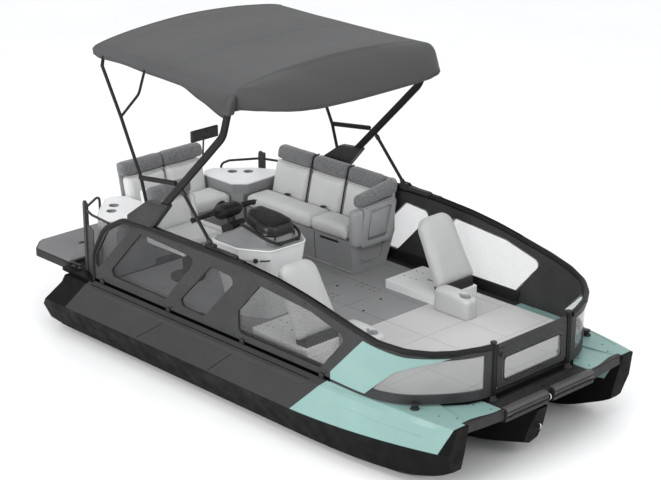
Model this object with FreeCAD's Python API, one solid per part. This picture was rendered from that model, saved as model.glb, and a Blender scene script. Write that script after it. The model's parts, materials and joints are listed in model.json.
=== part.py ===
import FreeCAD, Part
import math
import os

# Three-hull jet pontoon boat: +X runs forward to the bow, +Y to port, +Z up, all in mm.
# The origin is under the middle of the boat, on the plane that the outer keels stand on.

V = FreeCAD.Vector
os.makedirs("parts", exist_ok=True)

# Driving dimensions: hulls
STERN_X = -1950.0
TAIL_X = -2180.0
BOW_START_X = 1000.0
STEM_X = 2575.0
GUNWALE_Y = 1115.0
CHINE_Y = 1210.0
CHINE_Z = 310.0
FOOT_Y = 1100.0
FOOT_Z = 60.0
KEEL_OUTER_Y = 960.0
KEEL_INNER_Y = 800.0
TUNNEL_Y = 760.0
SHOULDER_OUT = 50.0
SHOULDER_DROP = 38.0
STEM_WIDTH = 125.0
CENTRE_HALF = 330.0
CENTRE_KEEL_LIFT = 4.0
EYE_X = 2488.0
EYE_Z = 262.0
EYE_RADIUS = 15.0
EYE_ROD = 5.5

# Driving dimensions: deck
HULL_TOP_Z = 618.0
TILE_THICKNESS = 12.0
TILE_PITCH = 447.0
SEAM_WIDTH = 4.0
SEAM_DEPTH = 5.0
DECK_Z = HULL_TOP_Z + TILE_THICKNESS
DECK_EDGE_Y = 980.0
ROOF_Z = 420.0
TILE_START_X = -1372.0
LIGHT_DECK_X = 867.0
GATE_X = 2388.0
PLATFORM_FRONT_X = 2600.0
PLATFORM_HALF = 500.0
LIP_THICKNESS = 70.0

# Driving dimensions: swim platform
SWIM_AFT_X = -2600.0
SWIM_HALF = 1040.0
SWIM_CORNER = 150.0
SWIM_THICKNESS = 62.0
SWIM_PAD_THICKNESS = 14.0
SWIM_GAP = 6.0

# Driving dimensions: fences and rails
FENCE_Y = 1098.0
FENCE_THICKNESS = 22.0
FENCE_FOOT_Z = HULL_TOP_Z
FENCE_AFT_X = -1500.0
FENCE_FRONT_X = 1391.0
PANE_THICKNESS = 4.0
PANE_LAP = 10.0
RAIL_RADIUS = 24.0
RAIL_Z = 1279.0
BOW_RAIL_Z = 1008.0
POST_RADIUS = 23.0
POST_Y = 424.0
POST_FOOT_Z = 576.0
POST_TOP_Z = 1035.0

# Driving dimensions: gate
GATE_HALF = 392.0
GATE_LOW_Z = 655.0
GATE_HIGH_Z = 990.0
GATE_THICKNESS = 26.0
GATE_BORDER = 62.0
HINGE_RADIUS = 10.0
PIN_RADIUS = 5.0
PIN_CLEARANCE = 0.3

# Driving dimensions: seats
SEAT_Z = 1035.0
CUSHION_THICKNESS = 118.0
BACK_TOP_Z = 1410.0
BACK_THICKNESS = 120.0
SOFT_GAP = 0.3
LOUNGE_AFT_X = -1392.0
LOUNGE_FRONT_X = -100.0
LOUNGE_FRONT_Y = 500.0
LOUNGE_BACK_Y = 782.0
BENCH_FRONT_X = -1490.0
BENCH_BACK_X = -1792.0
BENCH_HALF = 438.0
TABLE_Z = 1120.0
TABLE_THICKNESS = 98.0
CUP_RADIUS = 42.0
CUP_DEPTH = 78.0

# Driving dimensions: helm
HELM_Y = -505.0
CONSOLE_RIM_Z = 1240.0
BAR_X = -440.0
BAR_Z = 1362.0
BAR_HALF = 330.0
STEER_TILT = 28.0
CHAIR_X = -985.0
CHAIR_SEAT_Z = 1062.0
CHAIR_TOP_Z = 1420.0
CHAIR_WIDTH = 480.0

# Driving dimensions: bow seats
REST_LEAN = 28.0
REST_HALF = 225.0
REST_Y = 775.0
REST_THICKNESS = 100.0
SLAB_THICKNESS = 68.0
POD_Z = 820.0

# Driving dimensions: canopy and its frame
BIMINI_Y = 1080.0
MAIN_WIDE = 62.0
MAIN_THICK = 34.0
STRUT_RADIUS = 14.0
CANOPY_Z = 2667.0
CANOPY_CROWN = 90.0
CANOPY_HALF = 1052.0
CANOPY_AFT_X = -1505.0
CANOPY_FRONT_X = 290.0
CANOPY_THICKNESS = 14.0


def bow_x(share):
    """A station between the side fence's front edge and the gate."""
    return FENCE_FRONT_X + share * (GATE_X - FENCE_FRONT_X)


def frame_z(share):
    """A height between the side rail and the canopy's edge."""
    return RAIL_Z + share * (CANOPY_Z - RAIL_Z)


def place(axis, a, b, c):
    """A point from the two outline coordinates and the station along the axis."""
    if axis == "x":
        return V(c, a, b)
    if axis == "y":
        return V(a, c, b)
    return V(a, b, c)


def rounded_path(points, radius, closed):
    """Edges along a path whose corners turn on arcs of the radius, or less where runs are short."""
    count = len(points)
    starts = []
    ends = []
    arcs = []
    for index, corner in enumerate(points):
        at_end = not closed and index in (0, count - 1)
        before = points[index - 1]
        after = points[(index + 1) % count]
        back = before.sub(corner)
        ahead = after.sub(corner)
        turn = 0.0 if at_end else math.pi - back.getAngle(ahead)
        if at_end or turn < 0.01 or radius <= 0.0:
            starts.append(corner)
            ends.append(corner)
            arcs.append(None)
            continue
        reach = min(radius * math.tan(turn / 2.0), 0.45 * min(back.Length, ahead.Length))
        used = reach / math.tan(turn / 2.0)
        back.normalize()
        ahead.normalize()
        first = corner.add(V(back).multiply(reach))
        last = corner.add(V(ahead).multiply(reach))
        bisector = back.add(ahead)
        bisector.normalize()
        middle = corner.add(bisector.multiply(used / math.cos(turn / 2.0) - used))
        starts.append(first)
        ends.append(last)
        arcs.append(Part.Arc(first, middle, last).toShape())
    edges = []
    for index in range(count):
        if arcs[index] is not None:
            edges.append(arcs[index])
        following = (index + 1) % count
        if following == 0 and not closed:
            break
        if ends[index].distanceToPoint(starts[following]) > 1e-6:
            edges.append(Part.LineSegment(ends[index], starts[following]).toShape())
    return Part.Wire(edges)


def prism(points, axis, low, high, radius=0.0):
    """A straight solid over a closed outline, with its corners rounded."""
    corners = [place(axis, a, b, low) for a, b in points]
    face = Part.Face(rounded_path(corners, radius, True))
    return face.extrude(place(axis, 0.0, 0.0, high - low))


def box(x0, x1, y0, y1, z0, z1):
    return Part.makeBox(x1 - x0, y1 - y0, z1 - z0, V(x0, y0, z0))


def soft_box(x0, x1, y0, y1, z0, z1, radius):
    """A box with all its edges rounded."""
    solid = box(x0, x1, y0, y1, z0, z1)
    return solid.makeFillet(radius, solid.Edges)


def tube(points, radius, bend):
    """A round tube along a bent path."""
    corners = [V(*point) for point in points]
    path = rounded_path(corners, bend, False)
    circle = Part.Wire([Part.makeCircle(radius, corners[0], corners[1].sub(corners[0]))])
    return path.makePipeShell([circle], True, False)


def bar(points, wide, thick, bend):
    """A flat-sided tube along a bent path in an XZ plane, as wide as given in that plane."""
    corners = [V(*point) for point in points]
    path = rounded_path(corners, bend, False)
    along = corners[1].sub(corners[0])
    along.normalize()
    side = V(0, 1, 0)
    up = along.cross(side)
    a = V(up).multiply(wide / 2.0)
    b = V(side).multiply(thick / 2.0)
    start = corners[0]
    ring = [start.add(a).add(b), start.add(a).sub(b), start.sub(a).sub(b), start.sub(a).add(b)]
    profile = rounded_path(ring, thick * 0.35, True)
    return path.makePipeShell([profile], True, False)


def cylinder(centre, radius, length, direction):
    return Part.makeCylinder(radius, length, V(*centre), V(*direction))


def fuse(shapes):
    result = shapes[0]
    for shape in shapes[1:]:
        result = result.fuse(shape)
    return result.removeSplitter()


def mirrored(shape):
    """The same piece on the other side of the boat."""
    return shape.mirror(V(0, 0, 0), V(0, 1, 0))


def save(name, shape):
    shape.exportStep("parts/" + name + ".step")


# Hulls

def bow_share(x):
    return min(max((x - BOW_START_X) / (STEM_X - BOW_START_X), 0.0), 1.0)


def late_share(x):
    return max(bow_share(x) - 0.5, 0.0) / 0.5


def chine(x):
    share = bow_share(x)
    return CHINE_Y - 190.0 * share ** 2.2, CHINE_Z + 65.0 * share ** 1.3


def gunwale(x):
    share = bow_share(x)
    return GUNWALE_Y - 110.0 * share ** 3, HULL_TOP_Z - 34.0 * share ** 2


def inner_wall(x):
    return TUNNEL_Y + (GUNWALE_Y - 110.0 - STEM_WIDTH - TUNNEL_Y) * late_share(x) ** 2


def upper_ring(x):
    chine_y, chine_z = chine(x)
    top_y, top_z = gunwale(x)
    shoulder = SHOULDER_OUT * (1.0 - bow_share(x) ** 3)
    inner = inner_wall(x)
    ring = [(inner, top_z), (top_y, top_z), (top_y + shoulder, top_z - SHOULDER_DROP),
            (chine_y, chine_z), (inner, chine_z)]
    return Part.makePolygon([V(x, y, z) for y, z in ring + ring[:1]])


def lower_ring(x):
    chine_y, chine_z = chine(x)
    share = bow_share(x)
    keel_z = 270.0 * late_share(x) ** 2
    foot_z = max(FOOT_Z + 150.0 * share ** 4, keel_z + 12.0)
    inner = inner_wall(x)
    keel_inner = KEEL_INNER_Y + (inner - TUNNEL_Y) * 0.66
    ring = [(inner, chine_z), (chine_y, chine_z), (FOOT_Y - 130.0 * share ** 2, foot_z),
            (KEEL_OUTER_Y - 25.0 * share, keel_z), (keel_inner, keel_z)]
    return Part.makePolygon([V(x, y, z) for y, z in ring + ring[:1]])


BOW_STATIONS = [0.0, 0.12, 0.3, 0.48, 0.58, 0.7, 0.85, 1.0]


def hull_part(ring, start_x):
    straight = Part.makeLoft([ring(start_x), ring(BOW_START_X)], True, True)
    length = STEM_X - BOW_START_X
    stations = [BOW_START_X + share * length for share in BOW_STATIONS]
    bow = Part.makeLoft([ring(x) for x in stations], True, False)
    return straight.fuse(bow)


upper = hull_part(upper_ring, TAIL_X)
lower = hull_part(lower_ring, TAIL_X)
FAR = 3000.0
AFT_DECK_X = -1500.0
AFT_DECK_LOW_Z = 588.0
stem_cut = prism([(STEM_X, 700.0), (STEM_X, HULL_TOP_Z - 30.0), (2482.0, 170.0), (2440.0, 120.0),
                  (2360.0, -50.0), (FAR, -50.0), (FAR, 700.0)], "y", 0.0, 1400.0)
cap_region = prism([(2552.0, 700.0), (2552.0, 590.0), (2320.0, 146.0), (2250.0, -50.0),
                    (FAR, -50.0), (FAR, 700.0)], "y", 0.0, 1400.0)
tail_cut = prism([(-1800.0, 700.0), (-1884.0, 519.0), (TAIL_X, 229.0), (TAIL_X + 18.0, 91.0),
                  (TAIL_X + 160.0, 70.0), (TAIL_X + 200.0, -50.0), (-FAR, -50.0), (-FAR, 700.0)],
                 "y", 0.0, 1400.0)
tail_region = prism([(-1505.0, 700.0), (-1505.0, 640.0), (-1810.0, CHINE_Z), (-1810.0, 200.0),
                     (-FAR, 200.0), (-FAR, 700.0)], "y", 0.0, 1400.0)
aqua_region = prism([(1385.0, 700.0), (1385.0, 640.0), (1020.0, CHINE_Z - 20.0), (1020.0, 200.0),
                     (FAR, 200.0), (FAR, 700.0)], "y", 0.0, 1400.0)
tunnel_space = box(-FAR, FAR, 0.0, TUNNEL_Y, -200.0, 700.0)
upper = upper.cut(stem_cut).cut(tunnel_space)
lower = lower.cut(stem_cut).cut(tunnel_space).cut(box(-FAR, FAR, 0.0, 1400.0, -200.0, 0.0))
tail = upper.common(tail_region).cut(tail_cut)
side = upper.cut(tail_region).cut(aqua_region)
cowl = upper.common(aqua_region).cut(cap_region)
cap = fuse([upper.common(cap_region), lower.common(cap_region)])
tail = tail.cut(box(-FAR, AFT_DECK_X, 0.0, 1400.0, AFT_DECK_LOW_Z, 700.0))
sponson = fuse([lower.cut(tail_cut).cut(cap_region), tail])

LIP_AFT_X = 1700.0
lip = prism([(LIP_AFT_X, TUNNEL_Y - 40.0), (LIP_AFT_X + 320.0, PLATFORM_HALF + 2.0),
             (STEM_X, PLATFORM_HALF + 2.0), (2548.0, 900.0), (2548.0, 960.0), (LIP_AFT_X, 960.0)],
            "z", HULL_TOP_Z - 34.0 - LIP_THICKNESS, HULL_TOP_Z - 34.0)
lip = lip.cut(cap_region)
cowl = fuse([cowl, lip])

save("sponson_port", sponson)
save("sponson_starboard", mirrored(sponson))
save("side_port", side)
save("side_starboard", mirrored(side))
save("bow_cowl_port", cowl)
save("bow_cowl_starboard", mirrored(cowl))
save("stem_caps", Part.makeCompound([cap, mirrored(cap)]))


# Centre hull with its machinery space

def centre_ring(x):
    share = bow_share(x)
    late = late_share(x)
    half = CENTRE_HALF * (1.0 - 0.93 * share ** 3)
    keel_z = CENTRE_KEEL_LIFT + 140.0 * late ** 2
    bilge_z = 90.0 + 120.0 * late ** 2
    ring = [(-half, ROOF_Z), (half, ROOF_Z), (half, bilge_z + 60.0), (half * 0.72, bilge_z - 40.0),
            (0.0, keel_z), (-half * 0.72, bilge_z - 40.0), (-half, bilge_z + 60.0)]
    return Part.makePolygon([V(x, y, z) for y, z in ring + ring[:1]])


ENGINE_X = (-1100.0, -350.0)
ENGINE_HALF = 210.0
ENGINE_Z = (150.0, 400.0)
PUMP_RADIUS = 95.0
PUMP_Z = 215.0
TRANSOM_X = -1880.0
NOZZLE_X = -2030.0

centre_straight = Part.makeLoft([centre_ring(TRANSOM_X), centre_ring(BOW_START_X)], True, True)
centre_bow = Part.makeLoft([centre_ring(BOW_START_X + share * (STEM_X - BOW_START_X))
                            for share in BOW_STATIONS], True, False)
centre_hull = centre_straight.fuse(centre_bow)
centre_hull = centre_hull.cut(prism([(STEM_X - 30.0, 480.0), (2405.0, 95.0), (2380.0, 60.0),
                                     (2380.0, -50.0), (FAR, -50.0), (FAR, 480.0)],
                                    "y", -400.0, 400.0))
engine_bay = box(ENGINE_X[0] - 40.0, ENGINE_X[1] + 40.0, -ENGINE_HALF - 20.0, ENGINE_HALF + 20.0,
                 ENGINE_Z[0], ROOF_Z + 1.0)
pump_bore = cylinder((TRANSOM_X - 5.0, 0.0, PUMP_Z), PUMP_RADIUS, 420.0, (1, 0, 0))
centre_hull = centre_hull.cut(engine_bay).cut(pump_bore)
save("centre_hull", centre_hull)

engine = soft_box(ENGINE_X[0], ENGINE_X[1], -ENGINE_HALF, ENGINE_HALF, ENGINE_Z[0], ENGINE_Z[1], 18.0)
save("engine_block", engine)

pump = cylinder((TRANSOM_X - 60.0, 0.0, PUMP_Z), PUMP_RADIUS, 475.0, (1, 0, 0))
pump = pump.cut(cylinder((TRANSOM_X - 61.0, 0.0, PUMP_Z), PUMP_RADIUS - 14.0, 360.0, (1, 0, 0)))
ears = fuse([box(NOZZLE_X - 14.0, TRANSOM_X - 50.0, -22.0, 22.0, PUMP_Z + sign * 91.0 - 9.0,
                 PUMP_Z + sign * 91.0 + 9.0) for sign in (-1, 1)])
pump = fuse([pump, ears])
NOZZLE_AFT = 100.0
swivel_pins = [cylinder((NOZZLE_X, 0.0, PUMP_Z + sign * 73.0 - 15.0), 6.0, 30.0, (0, 0, 1))
               for sign in (-1, 1)]
pump = fuse([pump] + swivel_pins)
save("jet_pump", pump)

nozzle = Part.makeCone(76.0, 58.0, NOZZLE_AFT + 60.0, V(NOZZLE_X + 60.0, 0.0, PUMP_Z), V(-1, 0, 0))
nozzle = nozzle.cut(Part.makeCone(68.0, 50.0, NOZZLE_AFT + 62.0, V(NOZZLE_X + 61.0, 0.0, PUMP_Z),
                                  V(-1, 0, 0)))
for sign in (-1, 1):
    nozzle = nozzle.cut(cylinder((NOZZLE_X, 0.0, PUMP_Z + sign * 73.0 - 25.0), 6.0 + PIN_CLEARANCE,
                                 50.0, (0, 0, 1)))
save("jet_nozzle", nozzle)

# Deck

deck_frame = box(STERN_X, STEM_X - 45.0, -TUNNEL_Y, TUNNEL_Y, ROOF_Z, HULL_TOP_Z)
deck_frame = deck_frame.cut(lip).cut(mirrored(lip))
deck_front_cut = prism([(STEM_X - 45.0, HULL_TOP_Z - LIP_THICKNESS - 40.0), (2300.0, ROOF_Z - 1.0),
                        (FAR, ROOF_Z - 1.0), (FAR, HULL_TOP_Z - LIP_THICKNESS - 40.0)],
                       "y", -900.0, 900.0)
deck_frame = deck_frame.cut(deck_front_cut)
cheek = box(LIP_AFT_X, STEM_X, PLATFORM_HALF + 2.0, TUNNEL_Y, HULL_TOP_Z - 34.0, HULL_TOP_Z)
bow_cheek = prism([(bow_x(0.31), 1100.0), (bow_x(0.621), 1010.0), (bow_x(0.761), 850.0), (bow_x(0.942), 620.0),
                   (bow_x(0.972), PLATFORM_HALF), (FAR, PLATFORM_HALF), (FAR, 1300.0), (bow_x(0.31), 1300.0)],
                  "z", HULL_TOP_Z - 34.0, DECK_Z + 10.0)
deck_frame = deck_frame.cut(cheek.common(bow_cheek)).cut(mirrored(cheek.common(bow_cheek)))
step_down = box(GATE_X + 4.0, FAR, -PLATFORM_HALF - 2.0, PLATFORM_HALF + 2.0, 575.0, 700.0)
deck_frame = deck_frame.cut(step_down)
aft_deck = prism([(STERN_X, -GUNWALE_Y), (AFT_DECK_X, -GUNWALE_Y - 20.0), (AFT_DECK_X, GUNWALE_Y + 20.0),
                  (STERN_X, GUNWALE_Y)], "z", AFT_DECK_LOW_Z, HULL_TOP_Z).cut(side).cut(mirrored(side))
deck_frame = fuse([deck_frame, aft_deck])
post = cylinder((GATE_X, POST_Y, POST_FOOT_Z), POST_RADIUS, POST_TOP_Z - POST_FOOT_Z, (0, 0, 1))
deck_frame = deck_frame.cut(post).cut(mirrored(post))
save("deck_frame", deck_frame)


def grooved_plate(x_lines, y_lines, region):
    """The deck covering of one area, with the seams between its panels cut part of the way down."""
    plate = box(x_lines[0], x_lines[-1], y_lines[0], y_lines[-1], HULL_TOP_Z, DECK_Z).common(region)
    half = SEAM_WIDTH / 2.0
    for x in x_lines[1:-1]:
        plate = plate.cut(box(x - half, x + half, -FAR, FAR, DECK_Z - SEAM_DEPTH, DECK_Z + 1.0))
    for y in y_lines[1:-1]:
        plate = plate.cut(box(-FAR, FAR, y - half, y + half, DECK_Z - SEAM_DEPTH, DECK_Z + 1.0))
    return plate


y_lines = [-DECK_EDGE_Y, -2.0 * TILE_PITCH, -TILE_PITCH, 0.0, TILE_PITCH, 2.0 * TILE_PITCH, DECK_EDGE_Y]
aft_lines = [TILE_START_X] + [LIGHT_DECK_X - n * TILE_PITCH for n in range(4, -1, -1)]
fore_lines = [LIGHT_DECK_X + n * TILE_PITCH for n in range(0, 4)] + [GATE_X - 28.0]
whole_deck = box(-FAR, FAR, -2000.0, 2000.0, 0.0, 1000.0)
DECK_NOSE = [(LIGHT_DECK_X, 1090.0), (bow_x(0.31), 1065.0), (bow_x(0.601), 985.0), (bow_x(0.741), 850.0),
             (bow_x(0.912), 620.0), (bow_x(0.952), 480.0)]
bow_deck = prism(DECK_NOSE + [(x, -y) for x, y in DECK_NOSE[::-1]], "z", HULL_TOP_Z, DECK_Z, 60.0)
save("deck_tiles_aft", grooved_plate(aft_lines, y_lines, whole_deck))
save("deck_tiles_bow", grooved_plate(fore_lines, y_lines, bow_deck))

platform = prism([(GATE_X + 5.0, 576.0), (PLATFORM_FRONT_X - 62.0, 576.0), (PLATFORM_FRONT_X - 50.0, 590.0),
                  (PLATFORM_FRONT_X - 14.0, 586.0), (PLATFORM_FRONT_X, 572.0), (PLATFORM_FRONT_X, 536.0),
                  (PLATFORM_FRONT_X - 12.0, 532.0), (PLATFORM_FRONT_X - 12.0, 522.0),
                  (PLATFORM_FRONT_X - 2.0, 518.0), (PLATFORM_FRONT_X - 8.0, 490.0),
                  (PLATFORM_FRONT_X - 60.0, 470.0), (STEM_X - 44.0, 470.0), (STEM_X - 44.0, 575.5),
                  (GATE_X + 5.0, 575.5)], "y", -PLATFORM_HALF, PLATFORM_HALF)
NOTCH_X = PLATFORM_FRONT_X - 42.0
platform = platform.cut(box(NOTCH_X, FAR, -34.0, 34.0, 460.0, 600.0))
save("bow_platform", platform)


def eye_bolt(x, z, wall):
    """A steel rod that stands out of a wall, turns round an opening and goes back into it."""
    half = EYE_RADIUS + EYE_ROD
    loop = tube([(x - 60.0, 0.0, z + half), (x + half, 0.0, z + half), (x + half, 0.0, z - half),
                 (x - 60.0, 0.0, z - half)], EYE_ROD, half)
    return max(loop.cut(wall).Solids, key=lambda piece: piece.BoundBox.XMax)


TOW_EYE_X = PLATFORM_FRONT_X - EYE_RADIUS - 2.0 * EYE_ROD
TOW_EYE_Z = 532.0
save("bow_eyes", Part.makeCompound([eye_bolt(EYE_X, EYE_Z, centre_hull), eye_bolt(TOW_EYE_X, TOW_EYE_Z, platform)]))

swim_outline = [(STERN_X - SWIM_GAP, -SWIM_HALF), (SWIM_AFT_X + SWIM_CORNER, -SWIM_HALF),
                (SWIM_AFT_X, -SWIM_HALF + SWIM_CORNER), (SWIM_AFT_X, SWIM_HALF - SWIM_CORNER),
                (SWIM_AFT_X + SWIM_CORNER, SWIM_HALF), (STERN_X - SWIM_GAP, SWIM_HALF)]
swim = prism(swim_outline, "z", DECK_Z - SWIM_THICKNESS, DECK_Z, 60.0)
bracket = prism([(STERN_X, 430.0), (STERN_X, DECK_Z - SWIM_THICKNESS), (-2420.0, DECK_Z - SWIM_THICKNESS),
                 (-2300.0, 520.0)], "y", -560.0, 560.0)
swim = fuse([swim, bracket])
save("swim_platform", swim)
PAD_INSET = 55.0
swim_pad = prism([(x + (PAD_INSET if x < -2100.0 else -PAD_INSET), y - math.copysign(PAD_INSET, y))
                  for x, y in swim_outline], "z", DECK_Z, DECK_Z + SWIM_PAD_THICKNESS, 40.0)
slot = prism([(-2290.0, -700.0), (-2290.0, -560.0), (-2245.0, -560.0), (-2245.0, -700.0)],
             "z", DECK_Z - 1.0, DECK_Z + 30.0, 20.0)
swim_pad = swim_pad.cut(slot).cut(mirrored(slot))
save("swim_pad", swim_pad)

# Side fences

TOP_LINE = [(-800.0, RAIL_Z - 2.0), (400.0, RAIL_Z + 4.0), (830.0, RAIL_Z - 25.0), (1120.0, RAIL_Z - 65.0),
            (1360.0, RAIL_Z - 111.0), (bow_x(0.2497), RAIL_Z - 168.0)]
AFT_LINE = [(FENCE_AFT_X, FENCE_FOOT_Z), (FENCE_AFT_X, 860.0), (-1340.0, 1120.0), (-1080.0, 1258.0)]
SPLIT_X = bow_x(0.3551)
SPLIT = [(FENCE_FRONT_X, 700.0), (SPLIT_X, 1070.0)]


def window_cut(points, low, high, grow):
    """A rounded window opening through the fence panel, or the pane that laps over it."""
    middle_x = sum(x for x, z in points) / len(points)
    middle_z = sum(z for x, z in points) / len(points)
    corners = []
    for x, z in points:
        corners.append((x + math.copysign(grow, x - middle_x), z + math.copysign(grow, z - middle_z)))
    return prism(corners, "y", low, high, 45.0)


def fence_top(x):
    line = [AFT_LINE[-1]] + TOP_LINE
    for (x0, z0), (x1, z1) in zip(line, line[1:]):
        if x <= x1:
            return z0 + (z1 - z0) * (x - x0) / (x1 - x0)
    return line[-1][1]


WINDOWS = [[(-1312.0, 724.0), (-545.0, 722.0), (-131.0, 1178.0), (-839.0, 1206.0)],
           [(-404.0, 722.0), (-62.0, 712.0), (352.0, 1140.0), (38.0, 1163.0)],
           [(353.0, 700.0), (1278.0, 694.0), (bow_x(0.1695), 1015.0), (1180.0, fence_top(1180.0) - 85.0),
            (615.0, fence_top(615.0) - 105.0), (353.0, 880.0)],
           [(-1472.0, 775.0), (-1440.0, 745.0), (-985.0, 1195.0), (-1125.0, 1215.0), (-1290.0, 1110.0),
            (-1462.0, 860.0)]]
FENCE_IN = FENCE_Y - FENCE_THICKNESS / 2.0
FENCE_OUT = FENCE_Y + FENCE_THICKNESS / 2.0
fence_outline = AFT_LINE + TOP_LINE + [(SPLIT_X, 1098.0)] + SPLIT[::-1] + [(FENCE_FRONT_X, FENCE_FOOT_Z)]
fence = prism(fence_outline, "y", FENCE_IN, FENCE_OUT)
for window in WINDOWS:
    fence = fence.cut(window_cut(window, FENCE_IN - 5.0, FENCE_OUT + 5.0, 0.0))

RAIL_PATH = [(x, FENCE_Y, z) for x, z in AFT_LINE + TOP_LINE]
RAIL_PATH += [(bow_x(0.4704), 1082.0, 1062.0), (bow_x(0.671), 1000.0, 1030.0),
              (bow_x(0.8114), 870.0, BOW_RAIL_Z + 6.0), (bow_x(0.9067), 730.0, BOW_RAIL_Z),
              (bow_x(0.984), 540.0, BOW_RAIL_Z),
              (GATE_X + 8.0, POST_Y + POST_RADIUS + 4.0, BOW_RAIL_Z)]
rail = tube(RAIL_PATH, RAIL_RADIUS, 260.0)
fence = fence.cut(rail)
save("fence_port", fence)
save("fence_starboard", mirrored(fence))
panes = [window_cut(window, FENCE_IN - PANE_THICKNESS, FENCE_IN, PANE_LAP) for window in WINDOWS]
panes = Part.makeCompound([pane.cut(rail) for pane in panes])
save("windows_port", panes)
save("windows_starboard", mirrored(panes))
save("rail_port", rail)
save("rail_starboard", mirrored(rail))

# Bow fences, leaning out round the corners

FOOT_CURVE = [(bow_x(-0.0913), 1098.0), (bow_x(0.1695), 1100.0), (bow_x(0.3801), 1096.0), (bow_x(0.5406), 1060.0),
              (bow_x(0.651), 1000.0), (bow_x(0.7914), 860.0), (bow_x(0.9318), 660.0), (bow_x(0.9819), 545.0),
              (GATE_X - 6.0, POST_Y + POST_RADIUS)]
HEAD_CURVE = [(bow_x(-0.0913), 1098.0), (bow_x(0.1695), 1098.0), (bow_x(0.4002), 1092.0), (bow_x(0.5607), 1056.0),
              (bow_x(0.681), 1000.0), (bow_x(0.8164), 875.0), (bow_x(0.9368), 690.0), (bow_x(0.99), 545.0),
              (GATE_X + 4.0, POST_Y + POST_RADIUS)]
HEAD_Z = 1130.0


def bow_ring(share, start, end, inner, outer):
    """A level, closed outline on the leaning bow fence at a share of its height."""
    z = HULL_TOP_Z + share * (HEAD_Z - HULL_TOP_Z)
    centre = Part.BSplineCurve()
    centre.interpolate([V(fx + share * (hx - fx), fy + share * (hy - fy), z)
                        for (fx, fy), (hx, hy) in zip(FOOT_CURVE, HEAD_CURVE)])
    first = centre.FirstParameter
    span = centre.LastParameter - first
    sides = []
    for offset in (inner, outer):
        points = []
        for step in range(BOW_SAMPLES + 1):
            parameter = first + span * (start + (end - start) * step / BOW_SAMPLES)
            normal = V(centre.tangent(parameter)[0]).cross(V(0, 0, -1))
            normal.normalize()
            points.append(centre.value(parameter).add(normal.multiply(offset)))
        curve = Part.BSplineCurve()
        curve.interpolate(points)
        sides.append((curve, points))
    ends = [Part.LineSegment(sides[0][1][at], sides[1][1][at]).toShape() for at in (0, -1)]
    return Part.Wire([sides[0][0].toShape(), ends[1], sides[1][0].toShape(), ends[0]])


def bow_sheet(low, high, start, end, inner, outer):
    """A curved plate on the bow fence between two heights, from one offset to another."""
    return Part.makeLoft([bow_ring(low, start, end, inner, outer), bow_ring(high, start, end, inner, outer)],
                         True, True)


BOW_SAMPLES = 14
HALF_BOW = FENCE_THICKNESS / 2.0
bow_sheet_all = bow_sheet(0.0, 1.0, 0.0, 1.0, -HALF_BOW, HALF_BOW)
bow_profile = prism([(FENCE_FRONT_X, HULL_TOP_Z - 20.0), (FENCE_FRONT_X, 700.0), (SPLIT_X, 1070.0),
                     (SPLIT_X, 1098.0), (bow_x(0.47), 1062.0), (bow_x(0.731), 1026.0), (bow_x(0.942), BOW_RAIL_Z),
                     (FAR, BOW_RAIL_Z), (FAR, HULL_TOP_Z - 20.0)], "y", 300.0, 1300.0)
bow_fence = bow_sheet_all.common(bow_profile)
bow_window_profile = prism([(bow_x(0.42), 690.0), (FAR, 690.0), (FAR, 962.0), (bow_x(0.811), 962.0),
                            (bow_x(0.621), 905.0)], "y", 300.0, 1300.0)
bow_window_cut = bow_sheet(0.1, 0.75, 0.3, 0.955, -40.0, 40.0).common(bow_window_profile)
bow_fence = bow_fence.cut(bow_window_cut)
edge_zone = box(FENCE_FRONT_X, FAR, 300.0, 1300.0, BOW_RAIL_Z - 2.0 * RAIL_RADIUS, FAR)
bow_fence = fuse([bow_fence.cut(edge_zone), bow_fence.common(edge_zone).cut(rail)]).cut(post)
save("bow_fence_port", bow_fence)
save("bow_fence_starboard", mirrored(bow_fence))
bow_pane = bow_sheet(0.1, 0.75, 0.3, 0.955, -PANE_THICKNESS / 2.0, PANE_THICKNESS / 2.0).common(bow_window_profile)
save("bow_windows", Part.makeCompound([bow_pane, mirrored(bow_pane)]))

COWL_THICKNESS = 6.0
COWL_LAP = 0.2
cowl_profile = prism([(FENCE_FRONT_X, 640.0), (FENCE_FRONT_X, 700.0), (bow_x(0.345), 1052.0), (bow_x(0.671), 992.0),
                      (bow_x(0.902), 978.0), (bow_x(0.741), 924.0), (bow_x(0.612), 868.0), (bow_x(0.364), 640.0)],
                     "y", 300.0, 1300.0)
fence_cowl = bow_sheet(0.0, 1.0, 0.0, 1.0, HALF_BOW + COWL_LAP, HALF_BOW + COWL_LAP + COWL_THICKNESS)
fence_cowl = fence_cowl.common(cowl_profile).cut(rail)
save("fence_cowls", Part.makeCompound([fence_cowl, mirrored(fence_cowl)]))

# Posts and gate

HINGE_X = GATE_X - GATE_THICKNESS / 2.0 - HINGE_RADIUS - 2.0
HINGE_Y = GATE_HALF + 1.0
HINGE_HEIGHTS = (GATE_LOW_Z + 60.0, GATE_HIGH_Z - 90.0)
hinge_parts = []
for z in HINGE_HEIGHTS:
    hinge_parts.append(box(HINGE_X - 8.0, HINGE_X + 8.0, HINGE_Y - 8.0, POST_Y + 4.0, z - 12.0, z - 1.0))
    hinge_parts.append(cylinder((HINGE_X, HINGE_Y, z - 6.0), PIN_RADIUS, 36.0, (0, 0, 1)))
save("gate_posts", Part.makeCompound([fuse([post] + hinge_parts), mirrored(post)]))

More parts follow.
